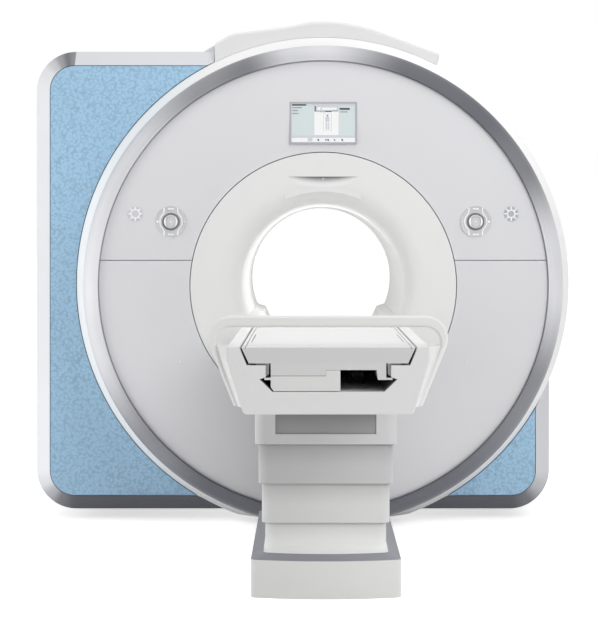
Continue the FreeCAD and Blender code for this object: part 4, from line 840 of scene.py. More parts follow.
def make_radial_marks():
    """Bars set like spokes round a point, a little proud of a face that looks along -Y."""
    graph, given, result = geometry_group("radial_marks", [
        ("Count", INT, 8), ("Inner radius", FLOAT, 0.01), ("Outer radius", FLOAT, 0.02),
        ("Width", FLOAT, 0.002), ("Thickness", FLOAT, 0.0005), ("Turn", FLOAT, 0.0),
        ("Centre", VECTOR, (0.0, 0.0, 0.0)),
    ])
    inner, outer = given["Inner radius"], given["Outer radius"]
    middle = graph.math("MULTIPLY", graph.math("ADD", inner, outer), 0.5)
    reach = graph.math("SUBTRACT", outer, inner)
    bar = graph.add("GeometryNodeMeshCube", {
        "Size": graph.vector(X=reach, Y=given["Thickness"], Z=given["Width"]),
    })
    bar = graph.add("GeometryNodeTransform", {
        "Geometry": bar.outputs["Mesh"], "Translation": graph.vector(X=middle),
    })
    dots = graph.add("GeometryNodePoints", {"Count": given["Count"], "Position": given["Centre"]})
    index = graph.add("GeometryNodeInputIndex").outputs[0]
    step = graph.math("DIVIDE", math.tau, given["Count"])
    spokes = graph.add("GeometryNodeInstanceOnPoints", {
        "Points": dots.outputs[0], "Instance": bar.outputs[0],
        "Rotation": graph.vector(Y=graph.math("MULTIPLY_ADD", index, step, given["Turn"])),
    })
    close_tree(graph, given, result, spokes.outputs[0])


def make_wiper_lip():
    """Round bead that follows a rectangle with round corners at one height."""
    graph, given, result = geometry_group("wiper_lip", [
        ("Width", FLOAT, 0.5), ("Depth", FLOAT, 0.9), ("Corner", FLOAT, 0.03),
        ("Bead radius", FLOAT, 0.002), ("Centre", VECTOR, (0.0, 0.0, 0.0)),
    ])
    path = graph.add("GeometryNodeCurvePrimitiveQuadrilateral", {
        "Width": given["Width"], "Height": given["Depth"],
    }, mode="RECTANGLE")
    path = graph.add("GeometryNodeFilletCurve", {
        "Curve": path.outputs[0], "Radius": given["Corner"], "Count": 8,
    }, mode="POLY")
    bead = round_bead(graph, path.outputs[0], given["Bead radius"], 10, False)
    moved = graph.add("GeometryNodeTransform", {"Geometry": bead, "Translation": given["Centre"]})
    close_tree(graph, given, result, moved.outputs[0])


def make_path_bead():
    """Round bead along the edges of a mesh, with closed ends."""
    graph, given, result = geometry_group("path_bead", [("Bead radius", FLOAT, 0.002)])
    path = graph.add("GeometryNodeMeshToCurve", {"Mesh": given["Geometry"]})
    bead = round_bead(graph, path.outputs[0], given["Bead radius"], 12, True)
    close_tree(graph, given, result, bead)


def make_screw_ring():
    """Ring of socket-head screws round the bore axis, heads along Y."""
    graph, given, result = geometry_group("screw_ring", [
        ("Count", INT, 12), ("Pitch radius", FLOAT, 0.9), ("Head radius", FLOAT, 0.007),
        ("Head depth", FLOAT, 0.003), ("Turn", FLOAT, 0.0), ("Centre", VECTOR, (0.0, 0.0, 0.0)),
    ])
    head = graph.add("GeometryNodeMeshCylinder", {
        "Vertices": 20, "Radius": given["Head radius"], "Depth": given["Head depth"],
    })
    socket = graph.add("GeometryNodeMeshCylinder", {
        "Vertices": 6, "Radius": graph.math("MULTIPLY", given["Head radius"], 0.5),
        "Depth": given["Head depth"],
    })
    socket = graph.add("GeometryNodeTransform", {
        "Geometry": socket.outputs["Mesh"],
        "Translation": graph.vector(Z=graph.math("MULTIPLY", given["Head depth"], 0.5)),
    })
    cut = graph.add("GeometryNodeMeshBoolean", {
        "Mesh 1": head.outputs["Mesh"], "Mesh 2": socket.outputs[0],
    }, operation="DIFFERENCE")
    faced = graph.add("GeometryNodeTransform", {
        "Geometry": cut.outputs["Mesh"], "Rotation": (-math.pi / 2, 0, 0),
    })
    index = graph.add("GeometryNodeInputIndex").outputs[0]
    step = graph.math("DIVIDE", math.tau, given["Count"])
    angle = graph.math("MULTIPLY_ADD", index, step, given["Turn"])
    around = graph.vector(
        X=graph.math("MULTIPLY", given["Pitch radius"], graph.math("COSINE", angle)),
        Z=graph.math("MULTIPLY", given["Pitch radius"], graph.math("SINE", angle)),
    )
    dots = graph.add("GeometryNodePoints", {
        "Count": given["Count"], "Position": graph.vector_math("ADD", around, given["Centre"]),
    })
    screws = graph.add("GeometryNodeInstanceOnPoints", {
        "Points": dots.outputs[0], "Instance": faced.outputs[0],
    })
    close_tree(graph, given, result, screws.outputs[0])


def make_trees():
    """Makes every shader group and geometry tree before the pieces."""
    for make in (make_moulded_skin, make_floor_wear, make_hairlines, make_round_brush, make_cells,
                 make_facing, make_height_fade, make_stepped_joint, make_silver_sweep,
                 make_turned_shell, make_radial_marks, make_wiper_lip, make_path_bead,
                 make_screw_ring):
        make()


def arc(x, y, radius, first, turn, steps):
    """Points from the first angle through a turn, both ends with it."""
    angles = [first + turn * i / steps for i in range(steps + 1)]
    return [(x + radius * math.cos(angle), y + radius * math.sin(angle)) for angle in angles]


def arc_through(start, through, end, steps):
    """Points after the start along the circle through three points of a plane."""
    (ax, ay), (bx, by), (cx, cy) = start, through, end
    d = 2 * (ax * (by - cy) + bx * (cy - ay) + cx * (ay - by))
    a2, b2, c2 = ax * ax + ay * ay, bx * bx + by * by, cx * cx + cy * cy
    x = (a2 * (by - cy) + b2 * (cy - ay) + c2 * (ay - by)) / d
    y = (a2 * (cx - bx) + b2 * (ax - cx) + c2 * (bx - ax)) / d
    first = math.atan2(ay - y, ax - x)
    turn = math.remainder(math.atan2(cy - y, cx - x) - first, math.tau)
    return arc(x, y, math.hypot(ax - x, ay - y), first, turn, steps)[1:]


def line_mesh(name, points, closed):
    """Mesh of the edges from point to point."""
    mesh = bpy.data.meshes.new(name)
    count = len(points)
    edges = [(i, (i + 1) % count) for i in range(count if closed else count - 1)]
    mesh.from_pydata(points, edges, [])
    return mesh


def turned_piece(name, path, material, segments, axis_x=0.0, axis_height=AXIS_HEIGHT):
    """Smooth closed shell turned from a path of (radius, depth)."""
    outline = line_mesh(name, [(r, y, 0) for r, y in path], True)
    item = grown(new_object(name, outline), "turned_shell", material, segments=segments,
                 axis_x=axis_x, axis_height=axis_height)
    outward(item.data)
    return item


def bead_along(name, points, radius, material, closed):
    """Round bead that follows a path of (x, y, z)."""
    item = new_object(name, line_mesh(name, points, closed))
    grown(item, "path_bead", material, bead_radius=radius)
    outward(item.data)
    smooth(item.data, 60)
    return item


def cutter_box(x0, x1, y0, y1, z0, z1):
    """Box between two corners, to cut with."""
    shape = bmesh.new()
    size = Matrix.Diagonal((x1 - x0, y1 - y0, z1 - z0, 1))
    middle = Matrix.Translation(((x0 + x1) / 2, (y0 + y1) / 2, (z0 + z1) / 2))
    bmesh.ops.create_cube(shape, size=1, matrix=middle @ size)
    return new_object("cutter", mesh_of(shape, "cutter"))


def cutter_cylinder(radius, depth, steps, place):
    """Cylinder to cut with, laid by its matrix."""
    shape = bmesh.new()
    bmesh.ops.create_cone(shape, cap_ends=True, segments=steps, radius1=radius, radius2=radius,
                          depth=depth, matrix=place)
    return new_object("cutter", mesh_of(shape, "cutter"))


def cutter_rod(x, z, radius, y0, y1, steps=72):
    """Cylinder along Y."""
    place = Matrix.Translation((x, (y0 + y1) / 2, z)) @ Matrix.Rotation(math.pi / 2, 4, "X")
    return cutter_cylinder(radius, y1 - y0, steps, place)


def cutter_post(x, y, radius, z0, z1, steps=72):
    """Cylinder along Z."""
    place = Matrix.Translation((x, y, (z0 + z1) / 2))
    return cutter_cylinder(radius, z1 - z0, steps, place)


def cutter_floor():
    """Box that takes off what reaches below the gap over the floor."""
    return cutter_box(-BESIDE, BESIDE, -1, 1, BELOW, FLOOR_GAP)


def prism_mesh(name, path, y0, y1):
    """Closed prism along Y of a path of (x, z)."""
    count = len(path)
    points = [(x, y0, z) for x, z in path] + [(x, y1, z) for x, z in path]
    faces = [tuple(range(count)), tuple(range(2 * count - 1, count - 1, -1))]
    faces += [(i, (i + 1) % count, count + (i + 1) % count, count + i) for i in range(count)]
    mesh = bpy.data.meshes.new(name)
    mesh.from_pydata(points, [], faces)
    outward(mesh)
    return mesh


def carve(item, cutters, operation="DIFFERENCE"):
    """Cuts an object with each cutter in turn and removes the cutters."""
    for cutter in cutters:
        modifier = item.modifiers.new("cut", "BOOLEAN")
        modifier.operation = operation
        modifier.solver = "EXACT"
        modifier.object = cutter
    settled(item)
    for cutter in cutters:
        bpy.data.objects.remove(cutter)
    return item


def stand_for(item, node, limit=30):
    """Shades a piece, lets it ride with the body of a CAD node and take its place."""
    smooth(item.data, limit)
    body = frame["nodes"][node]["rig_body"]
    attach(item, body)
    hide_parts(node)
    return item


def add_piece(item, body):
    """Lets an added piece ride with a body."""
    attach(item, body)
    return item


# ---- covers ----

def cover_depth(s, radius):
    """Depth of the round cover's face at a radius."""
    middle = (s.funnel_radius + s.cover_radius) / 2
    reach = (s.cover_radius - s.funnel_radius) / 2
    return s.front + s.crown * ((radius - middle) / reach) ** 2


def crown_path(s, inner, outer, set_back, steps=28):
    """Bulged face of the round cover, or a line set back behind it."""
    start, through, end = [(radius, cover_depth(s, radius) + set_back)
                           for radius in (inner, (inner + outer) / 2, outer)]
    return [start] + arc_through(start, through, end, steps)


def inner_crown(s, inner):
    """Inside of the round cover's face, from the rim inwards."""
    return crown_path(s, inner + s.skin, s.cover_radius - s.skin, s.skin, 12)[::-1]


def front_cover_path(s):
    """Front cover: bulged face with eased edges, a short rim and the wall to its seat."""
    inner = s.funnel_radius + s.seam
    rim = s.front + 0.05
    edge = 0.0012
    face = crown_path(s, inner, s.cover_radius, 0)
    turn_in = [(inner, face[0][1] + edge), (inner + edge, face[1][1] - 0.0004)]
    turn_out = [(s.cover_radius - edge, face[-1][1] - 0.0002),
                (s.cover_radius, face[-1][1] + edge)]
    wall = [(s.cover_radius, rim), (s.cover_radius - s.skin, rim)]
    seat = [(inner + s.skin, s.magnet_front), (inner, s.magnet_front)]
    return turn_in + face[2:-2] + turn_out + wall + inner_crown(s, inner) + seat


def seal_path(s):
    """Soft seal a little behind the face, in the joint between the round cover and the ring."""
    fit = 0.0003
    inner = s.cover_radius + fit
    outer = s.cover_radius + s.ring_gap - fit
    face = cover_depth(s, s.cover_radius) + 0.0012
    back = face + 0.006
    edge = 0.0008
    return [(inner, face + edge), (inner + edge, face), (outer - edge, face),
            (outer, face + edge), (outer, back), (inner, back)]


def ring_path(s):
    """Silver ring: bulged face from its mouth to its back, and the wall behind it."""
    inner = s.cover_radius + s.ring_gap
    back = s.front + RING_BACK
    mouth = (inner, s.front + RING_MOUTH)
    bulge = (s.ring_radius - 0.024, s.front + 0.016)
    return [mouth] + arc_through(mouth, bulge, (s.ring_radius, back), 24) + [
        (s.ring_radius - s.skin, back), (s.ring_radius - 0.0275, s.front + 0.02),
        (inner + s.skin, mouth[1] + s.skin), (inner + s.skin, back + s.seam),
        (inner, back + s.seam),
    ]


def drum_path(s):
    """Waisted drum from the ring to the housing, with its flange behind the side panels."""
    inner = s.cover_radius + s.ring_gap
    start = s.front + RING_BACK + s.seam
    panel_plane = front_of("side_panel_left")
    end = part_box("front_drum")[1].y
    lip = (s.ring_radius - 0.008, start)
    shoulder = (s.drum_radius, panel_plane + s.seam)
    waist = (lip[1] + shoulder[1]) / 2
    flange = panel_plane - 0.055
    seat = s.drum_radius - 0.163
    return [(inner, start), lip] + arc_through(
        lip, (s.ring_radius + 0.022, waist), shoulder, 20) + [
        (s.drum_radius, end), (s.drum_radius - s.skin, end),
        (s.drum_radius - s.skin, shoulder[1] + 0.001),
        (s.drum_radius - 0.02, flange + s.skin), (seat, flange + s.skin), (seat, flange),
        (s.drum_radius - 0.025, flange), (s.ring_radius + 0.014, waist),
        (lip[0] - s.skin, start + s.skin), (inner, start + s.skin),
    ]


def rear_cover_path(s):
    """Rear cover, drawn at the front: the round face with the rim in place of the ring."""
    inner = s.funnel_radius + s.seam
    back = s.front + RING_BACK + s.seam
    edge = (s.cover_radius, cover_depth(s, s.cover_radius))
    rim = arc_through(edge, (s.ring_radius - 0.02, s.front + 0.028), (s.ring_radius, back), 14)
    wall = [(s.ring_radius - s.skin, back), (s.ring_radius - 0.025, s.front + 0.032)]
    seat = [(inner + s.skin, s.magnet_front), (inner, s.magnet_front)]
    return crown_path(s, inner, s.cover_radius, 0) + rim + wall + inner_crown(s, inner) + seat


def funnel_path(s, steps=26):
    """Cone from the cover, then a rounded throat that runs into the bore."""
    turn = math.pi / 2 - s.funnel_slope
    mouth = cover_depth(s, s.funnel_radius)
    corner = mouth + (s.funnel_radius - s.bore_radius) * math.tan(s.funnel_slope)
    throat_radius = (s.bore_end - corner) / math.tan(turn / 2)

    def throat(radius):
        return arc(s.bore_radius + throat_radius, s.bore_end, radius, turn + math.pi, -turn, steps)

    rim = s.funnel_radius - s.skin
    rim_depth = mouth + s.skin / math.cos(s.funnel_slope) + s.skin * math.tan(s.funnel_slope)
    inside = throat(throat_radius - s.skin)[::-1]
    return [(s.funnel_radius, mouth)] + throat(throat_radius) + inside + [
        (rim, rim_depth), (rim, s.magnet_front), (s.funnel_radius, s.magnet_front),
    ]


def mirrored(path):
    """The same path at the other end of the gantry."""
    return [(r, -y) for r, y in path]


def cone_depth(s, radius):
    """Depth of the funnel's cone at a radius."""
    return cover_depth(s, s.funnel_radius) + (s.funnel_radius - radius) * math.tan(s.funnel_slope)


def hollow_brow(s, funnel):
    """Cuts the scoop with a straight upper edge and the seat of its light into the funnel, and
    paints a shadow on the scoop under that edge.
    """
    over_middle = 0.006
    rise = (s.bore_radius + s.funnel_radius) / 2 + over_middle
    top = s.axis_height + rise
    floor = cone_depth(s, rise) + s.brow_sink
    run_out = s.brow_sink / math.tan(s.funnel_slope)
    bow = floor - cone_depth(s, math.hypot(s.brow_half, rise))
    radius = (s.brow_half ** 2 + bow ** 2) / (2 * bow)
    margin = 2 * s.skin
    low = rise - run_out - margin
    high = math.hypot(s.brow_half, rise) + margin
    behind, deep = s.skin / 2, s.brow_sink + s.skin
    corners = ((low, behind), (high, behind), (high, deep), (low, deep))
    patch = [(reach, cone_depth(s, reach) + set_back) for reach, set_back in corners]
    backing = turned_piece("backing", patch, funnel.data.materials[0], s.segments)
    half = s.brow_half + margin
    carve(backing, [cutter_box(-half, half, s.front, s.magnet_front, s.axis_height,
                               top + margin)], "INTERSECT")
    carve(funnel, [backing], "UNION")
    carve(funnel, [
        cutter_post(0, floor - radius, radius, top - run_out - s.brow_sink, top, 240),
        cutter_rod(0, top - 2 * s.lens_radius, s.lens_radius, floor - 0.001,
                   floor + s.skin - 0.001, 32),
    ])
    # painted shadow: the scoop darkens towards its straight upper edge
    shade = finish_of("brow_shade", moulded, s.funnel_colour, roughness=0.4,
                      fade=(top - 0.034, top + 0.004, 1.1, s.brow_painted_shadow_tone))
    funnel.data.materials.append(shade)
    near = 0.0002
    for face in funnel.data.polygons:
        spot = face.center
        if abs(math.hypot(spot.x, spot.y - floor + radius) - radius) < near:
            face.material_index = len(funnel.data.materials) - 1


class SCANNER_OT_round_covers(bpy.types.Operator):
    """Turn the round covers, ring, drums and funnels about the bore axis"""
    bl_idname = "scanner.round_covers"
    bl_label = "Round covers"

    def execute(self, context):
        s = context.scene.scanner_covers
        shell = finish_of("cover_shell", moulded, s.cover_colour, roughness=0.36, drift=0.015,
                          coat=0.12, wear=(0.5, 0.06))
        pale = finish_of("funnel_shell", moulded, s.funnel_colour, roughness=0.34, drift=0.012,
                         coat=0.1)
        # painted shade: the drum is a little darker where it faces up and to the left
        paint = finish_of("drum_shell", moulded, s.drum_colour, roughness=0.62, drift=0.012,
                          wear=(0.45, 0.08), sheen=0.15,
                          facing=((-0.35, -0.1, 0.93), linear(231, 231, 230)))
        metal = finish_of("ring_metal", brushed, s.ring_painted_highlight, s.ring_painted_shade)
        rubber = finish_of("seal_rubber", moulded, s.seal_colour, roughness=0.55)
        cap = finish_of("screw_cap", moulded, s.funnel_colour, roughness=0.3)
        steel = finish_of("screw_steel", drawn_metal, linear(170, 171, 175))
        through = (s.front - 0.01, s.front + 0.06)
        half_seam = s.seam / 2

        def turned(name, path, material):
            return turned_piece(name, path, material, s.segments)

        upper = turned("round_cover_upper", front_cover_path(s), shell)
        low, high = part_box("screen_bezel")
        holes = [cutter_box(-BESIDE, BESIDE, -1, 0, BELOW, SPLIT_HEIGHT + half_seam),
                 cutter_box(low.x - FIT, high.x + FIT, *through, low.z - FIT, high.z + FIT)]
        for node in ("control_dish_left", "control_dish_right", "light_key", "fan_key"):
            low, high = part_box(node)
            middle = middle_of(node)
            holes.append(cutter_rod(middle.x, middle.z, (high.x - low.x) / 2 + FIT, *through))
        stand_for(carve(upper, holes), "front_cover_upper")

        lower = turned("round_cover_lower", front_cover_path(s), shell)
        low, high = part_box("cover_screws")
        holes = [cutter_box(-BESIDE, BESIDE, -1, 0, SPLIT_HEIGHT - half_seam, ABOVE)]
        cap_radius, hole_radius = 0.0065, 0.007
        holes += [cutter_rod(x, (low.z + high.z) / 2, hole_radius, *through, 32)
                  for x in (low.x + cap_radius, high.x - cap_radius)]
        stand_for(carve(lower, holes), "front_cover_lower")

        stand_for(turned("silver_ring", ring_path(s), metal), "front_ring")
        seal = turned("ring_seal", seal_path(s), rubber)
        smooth(seal.data)
        add_piece(seal, "gantry")
        for node, path in (("front_drum", drum_path(s)), ("rear_drum", mirrored(drum_path(s)))):
            stand_for(carve(turned(node + "_shell", path, paint), [cutter_floor()]), node)
        rear = turned("rear_round_cover", mirrored(rear_cover_path(s)), shell)
        stand_for(carve(rear, [cutter_floor()]), "rear_cover")

        funnel = turned("funnel_front", funnel_path(s), pale)
        hollow_brow(s, funnel)
        stand_for(funnel, "front_funnel", 12)
        stand_for(turned("funnel_rear", mirrored(funnel_path(s)), pale), "rear_funnel")
        dress(cap, "cover_screws")

        pitch = 0.9
        screws = grown(blank("rear_cover_screws"), "screw_ring", steel, count=12,
                       pitch_radius=pitch, head_radius=0.008, head_depth=0.004,
                       turn=math.pi / 12, centre=(0, 0.001 - cover_depth(s, pitch), s.axis_height))
        smooth(screws.data)
        add_piece(screws, "gantry")
        return {"FINISHED"}


class SCANNER_OT_bore(bpy.types.Operator):
    """Finish the bore, its rail bed, the light slot and the magnet inside"""
    bl_idname = "scanner.bore"
    bl_label = "Bore and magnet"

    def execute(self, context):
        s = context.scene.scanner_covers
        lens = context.scene.scanner_table.carrier_colour
        dress(finish_of("bore_shell", moulded, s.funnel_colour, roughness=0.4, drift=0.012,
                        depth=0.000008), "bore_liner", "bore_bridge")
        dress(finish_of("light_lens", moulded, lens, roughness=0.12, coat=0.8), "brow_light")
        dress(finish_of("vessel_steel", drawn_metal, linear(190, 192, 196), 0.34,
                        (40.0, 40.0, 40.0)), "magnet_vessel")
        dress(finish_of("machine_paint", moulded, linear(96, 98, 102), roughness=0.5, drift=0.05,
                        grain=0.003, depth=0.0002, wear=(0.4, 0.35)),
              "magnet_cradle", "cold_head", "base_plate", "lift_barrels")
        dress(finish_of("cast_resin", moulded, linear(196, 178, 132), roughness=0.5, drift=0.07,
                        grain=0.004, depth=0.0003), "gradient_coil")
        dress(finish_of("coil_laminate", moulded, linear(225, 224, 216), roughness=0.45,
                        drift=0.03), "body_coil")
        return {"FINISHED"}


# ---- housing ----

def gasket_path(c, side):
    """Middle line of the open joint round a side panel.

    It has straight runs and round corners outside and follows the drum's arc inside.
    """
    half_seam = c.seam / 2
    low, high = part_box("side_panel_" + side)
    left = side == "left"
    outer = abs(low.x if left else high.x) + half_seam
    panel_corner = 0.108
    corner = panel_corner + half_seam
    bottom = low.z - half_seam
    top = high.z + half_seam
    rim = c.drum_radius + half_seam

    def drum_x(z):
        return math.sqrt(rim ** 2 - (z - c.axis_height) ** 2)

    def bend(z, first):
        return arc(outer - corner, z, corner, first, math.pi / 2, 14)

    path = [(drum_x(bottom), bottom)] + bend(bottom + corner, -math.pi / 2)
    if left:
        path += bend(top - corner, 0) + [(drum_x(top), top)]
        start = top
    else:
        start = c.axis_height - math.sqrt(rim ** 2 - outer ** 2)
        path.append((outer, start))
    first = math.asin((start - c.axis_height) / rim)
    last = math.asin((bottom - c.axis_height) / rim)
    path += arc(0, c.axis_height, rim, first, last - first, 120 if left else 30)[1:-1]
    set_back = 0.003
    return [(-x if left else x, low.y + set_back, z) for x, z in path]


class SCANNER_OT_housing(bpy.types.Operator):
    """Finish the wings, their frames, the side walls and the turret"""
    bl_idname = "scanner.housing"
    bl_label = "Housing"

    def execute(self, context):
        s = context.scene.scanner_housing
        dress(finish_of("pebbled_blue", pebbled, s.panel_colour, s.panel_cell),
              "side_panel_left", "side_panel_right")
        dress(finish_of("silver_frame", silver_paint, s.silver_colour, s.silver_painted_shade),
              "wing_frame_left", "wing_frame_right", "rear_wings", "housing_band")
        dress(finish_of("turret_shell", moulded, s.turret_colour, roughness=0.36, drift=0.015,
                        coat=0.1), "turret_cover")
        rubber = finish_of("gasket_rubber", moulded, linear(58, 64, 72), roughness=0.6, drift=0.05)
        for side in ("left", "right"):
            path = gasket_path(context.scene.scanner_covers, side)
            seam = bead_along("panel_gasket_" + side, path, s.gasket_radius, rubber, True)
            add_piece(seam, "gantry")
        return {"FINISHED"}


# ---- screen ----

class SCANNER_OT_screen(bpy.types.Operator):
    """Finish the screen and lay out what it shows"""
    bl_idname = "scanner.screen"
    bl_label = "Status screen"

    def execute(self, context):
        s = context.scene.scanner_screen
        inks = [finish_of(name, glowing, tint, s.glow) for name, tint in (
            ("display_bar", s.bar_colour), ("display_page", s.page_colour),
            ("display_ink", s.ink_colour), ("display_pale_ink", s.pale_ink_colour))]
        bar, page, ink, pale = range(4)
        dress(finish_of("bezel_plastic", moulded, s.bezel_colour, roughness=0.35), "screen_bezel")
        dress(finish_of("display_glass", glowing, s.field_colour, s.glow, roughness=0.12),
              "screen_glass")
        low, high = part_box("screen_glass")
        middle = middle_of("screen_glass")
        half_x = (high.x - low.x) / 2
        half_z = (high.z - low.z) / 2
        shape = bmesh.new()

        layer_height = 0.00022

        def tile(left, right, bottom, top, tone, layer=1, lean=0.0):
            """Flat tile in shares of the glass's half width and half height."""
            y = low.y - layer_height * layer
            corners = [(left, bottom), (right, bottom), (right + lean, top), (left + lean, top)]
            ends = [shape.verts.new((middle.x + u * half_x, y, middle.z + v * half_z))
                    for u, v in corners]
            backs = [shape.verts.new((v.co.x, low.y, v.co.z)) for v in ends]
            sides = [(ends[i - 1], backs[i - 1], backs[i], ends[i]) for i in (1, 2, 3, 0)]
            for face in [ends, backs[::-1]] + sides:
                shape.faces.new(face).material_index = tone

        tile(-0.99, 0.99, 0.9, 0.985, bar)
        tile(-0.99, 0.99, -0.75, -0.65, bar)
        tile(-0.99, 0.99, -0.98, -0.77, page)
        tile(-0.28, 0.48, -0.62, 0.58, page)
        tile(-0.28, 0.48, 0.58, 0.9, bar)
        tile(-0.98, -0.54, 0.895, 0.975, ink, 2)
        for row, reach in enumerate((0.3, 0.17, 0.2)):
            top = 0.82 - 0.15 * row
            tile(-0.97, -0.97 + reach, top - 0.055, top, pale, 2)
        tile(0.51, 0.83, 0.68, 0.78, ink, 2)
        tile(0.53, 0.76, 0.55, 0.6, pale, 2)
        # outline of a scanner at the head of the page
        tile(-0.04, 0.42, 0.68, 0.8, page, 2)
        tile(-0.27, -0.235, 0.6, 0.88, ink, 2)
        tile(-0.2, -0.1, 0.66, 0.82, page, 2, 0.03)
        tile(-0.23, -0.08, 0.6, 0.635, pale, 2, -0.02)
        tile(-0.1, 0.06, 0.56, 0.595, pale, 2)
        tile(0.06, 0.26, 0.57, 0.625, ink, 2)
        tile(0.26, 0.44, 0.61, 0.65, pale, 2, 0.02)
        # pale figure lying below it
        tile(0.0, 0.26, -0.42, 0.5, bar, 2)
        tile(0.014, 0.246, -0.405, 0.485, page, 3)
        tile(0.1, 0.16, 0.33, 0.43, pale, 4)
        tile(0.065, 0.195, 0.05, 0.31, bar, 4)
        for leg in (0.075, 0.14):
            tile(leg, leg + 0.045, -0.34, 0.02, bar, 4)
        # row of keys along the foot
        tile(-0.49, -0.34, -0.95, -0.74, bar, 2)
        for place, tone in ((-0.14, ink), (0.1, pale), (0.17, ink), (0.37, pale), (0.61, ink)):
            tile(place - 0.025, place + 0.02, -0.93, -0.82, tone, 2, -0.03)
        shape.normal_update()
        mesh = mesh_of(shape, "display_layout")
        for material in inks:
            mesh.materials.append(material)
        outward(mesh, merge=False)
        add_piece(new_object("display_layout", mesh), "gantry")
        return {"FINISHED"}


# ---- controls ----

DISH_RIM = 0.002       # width of a dish's flat rim
DISH_RIM_SINK = 0.001  # that rim behind the front plane


def crescent(radius, width, start, sweep, steps=24):
    """Outline of a crescent: outer arc and a flatter inner arc that meet at its tips."""
    outer, inner = [], []
    for i in range(steps + 1):
        along = i / steps
        angle = start + sweep * along
        thin = radius - width * math.sin(math.pi * along)
        outer.append((radius * math.cos(angle), radius * math.sin(angle)))
        inner.append((thin * math.cos(angle), thin * math.sin(angle)))
    return outer + inner[-2:0:-1]


def circle(radius, steps=32):
    """Outline of a circle about the origin."""
    return arc(0, 0, radius, 0, math.tau, steps)[:-1]


def sector(inner, outer, middle, half, steps=4):
    """Outline of a piece of a flat ring, to both sides of a middle angle."""
    return (arc(0, 0, outer, middle - half, 2 * half, steps)
            + arc(0, 0, inner, middle + half, -2 * half, steps))


def rounded_box(half_x, half_z, corner, steps=5):
    """Outline of a rectangle with round corners about the origin."""
    path = []
    for quarter, (x, z) in enumerate(((1, 1), (-1, 1), (-1, -1), (1, -1))):
        path += arc(x * (half_x - corner), z * (half_z - corner), corner,
                    quarter * math.pi / 2, math.pi / 2, steps)
    return path


def raised_marks(name, outlines, middle, front, back, material):
    """Thin plates of (x, z) outlines about a middle, as one mesh."""
    shape = bmesh.new()
    for path in outlines:
        plate = prism_mesh("plate", [(middle.x + x, middle.z + z) for x, z in path], front, back)
        shape.from_mesh(plate)
        bpy.data.meshes.remove(plate)
    mesh = mesh_of(shape, name)
    mesh.materials.append(material)
    smooth(mesh)
    return new_object(name, mesh)


def dish_depth(s, front, radius):
    """Depth of the dish's face at a distance from its middle."""
    start = 0.45 * s.dish_radius
    along = (radius - start) / (s.dish_radius - DISH_RIM - start)
    rise = s.dish_sink - DISH_RIM_SINK
    return front + s.dish_sink - rise * min(max(along, 0), 1) ** 2


def dish_path(s, front, steps=16):
    """Dish with the well round the dial and the hole for the dial's shaft."""
    shaft = 0.00805
    well = front + 0.022
    back = front + 0.03
    first, last = s.well_radius, s.dish_radius - DISH_RIM
    radii = [first + (last - first) * i / steps for i in range(steps + 1)]
    face = [(radius, dish_depth(s, front, radius)) for radius in radii]
    return [(shaft, well), (s.well_radius, well)] + face + [
        (s.dish_radius, front + DISH_RIM_SINK), (s.dish_radius, back), (shaft, back)]


def ridge_line(s, front, side, steps=30):
    """Waisted ridge beside the dial: straight ends that bow out round the well."""
    points = []
    for i in range(steps + 1):
        z = 0.9 * s.dish_radius * (2 * i / steps - 1)
        rise = min(max((0.66 * s.dish_radius - abs(z)) / (0.54 * s.dish_radius), 0), 1)
        x = (0.44 + 0.27 * rise * rise * (3 - 2 * rise)) * s.dish_radius
        points.append((side * x, dish_depth(s, front, math.hypot(x, z)) - 0.0012, z))
    return points


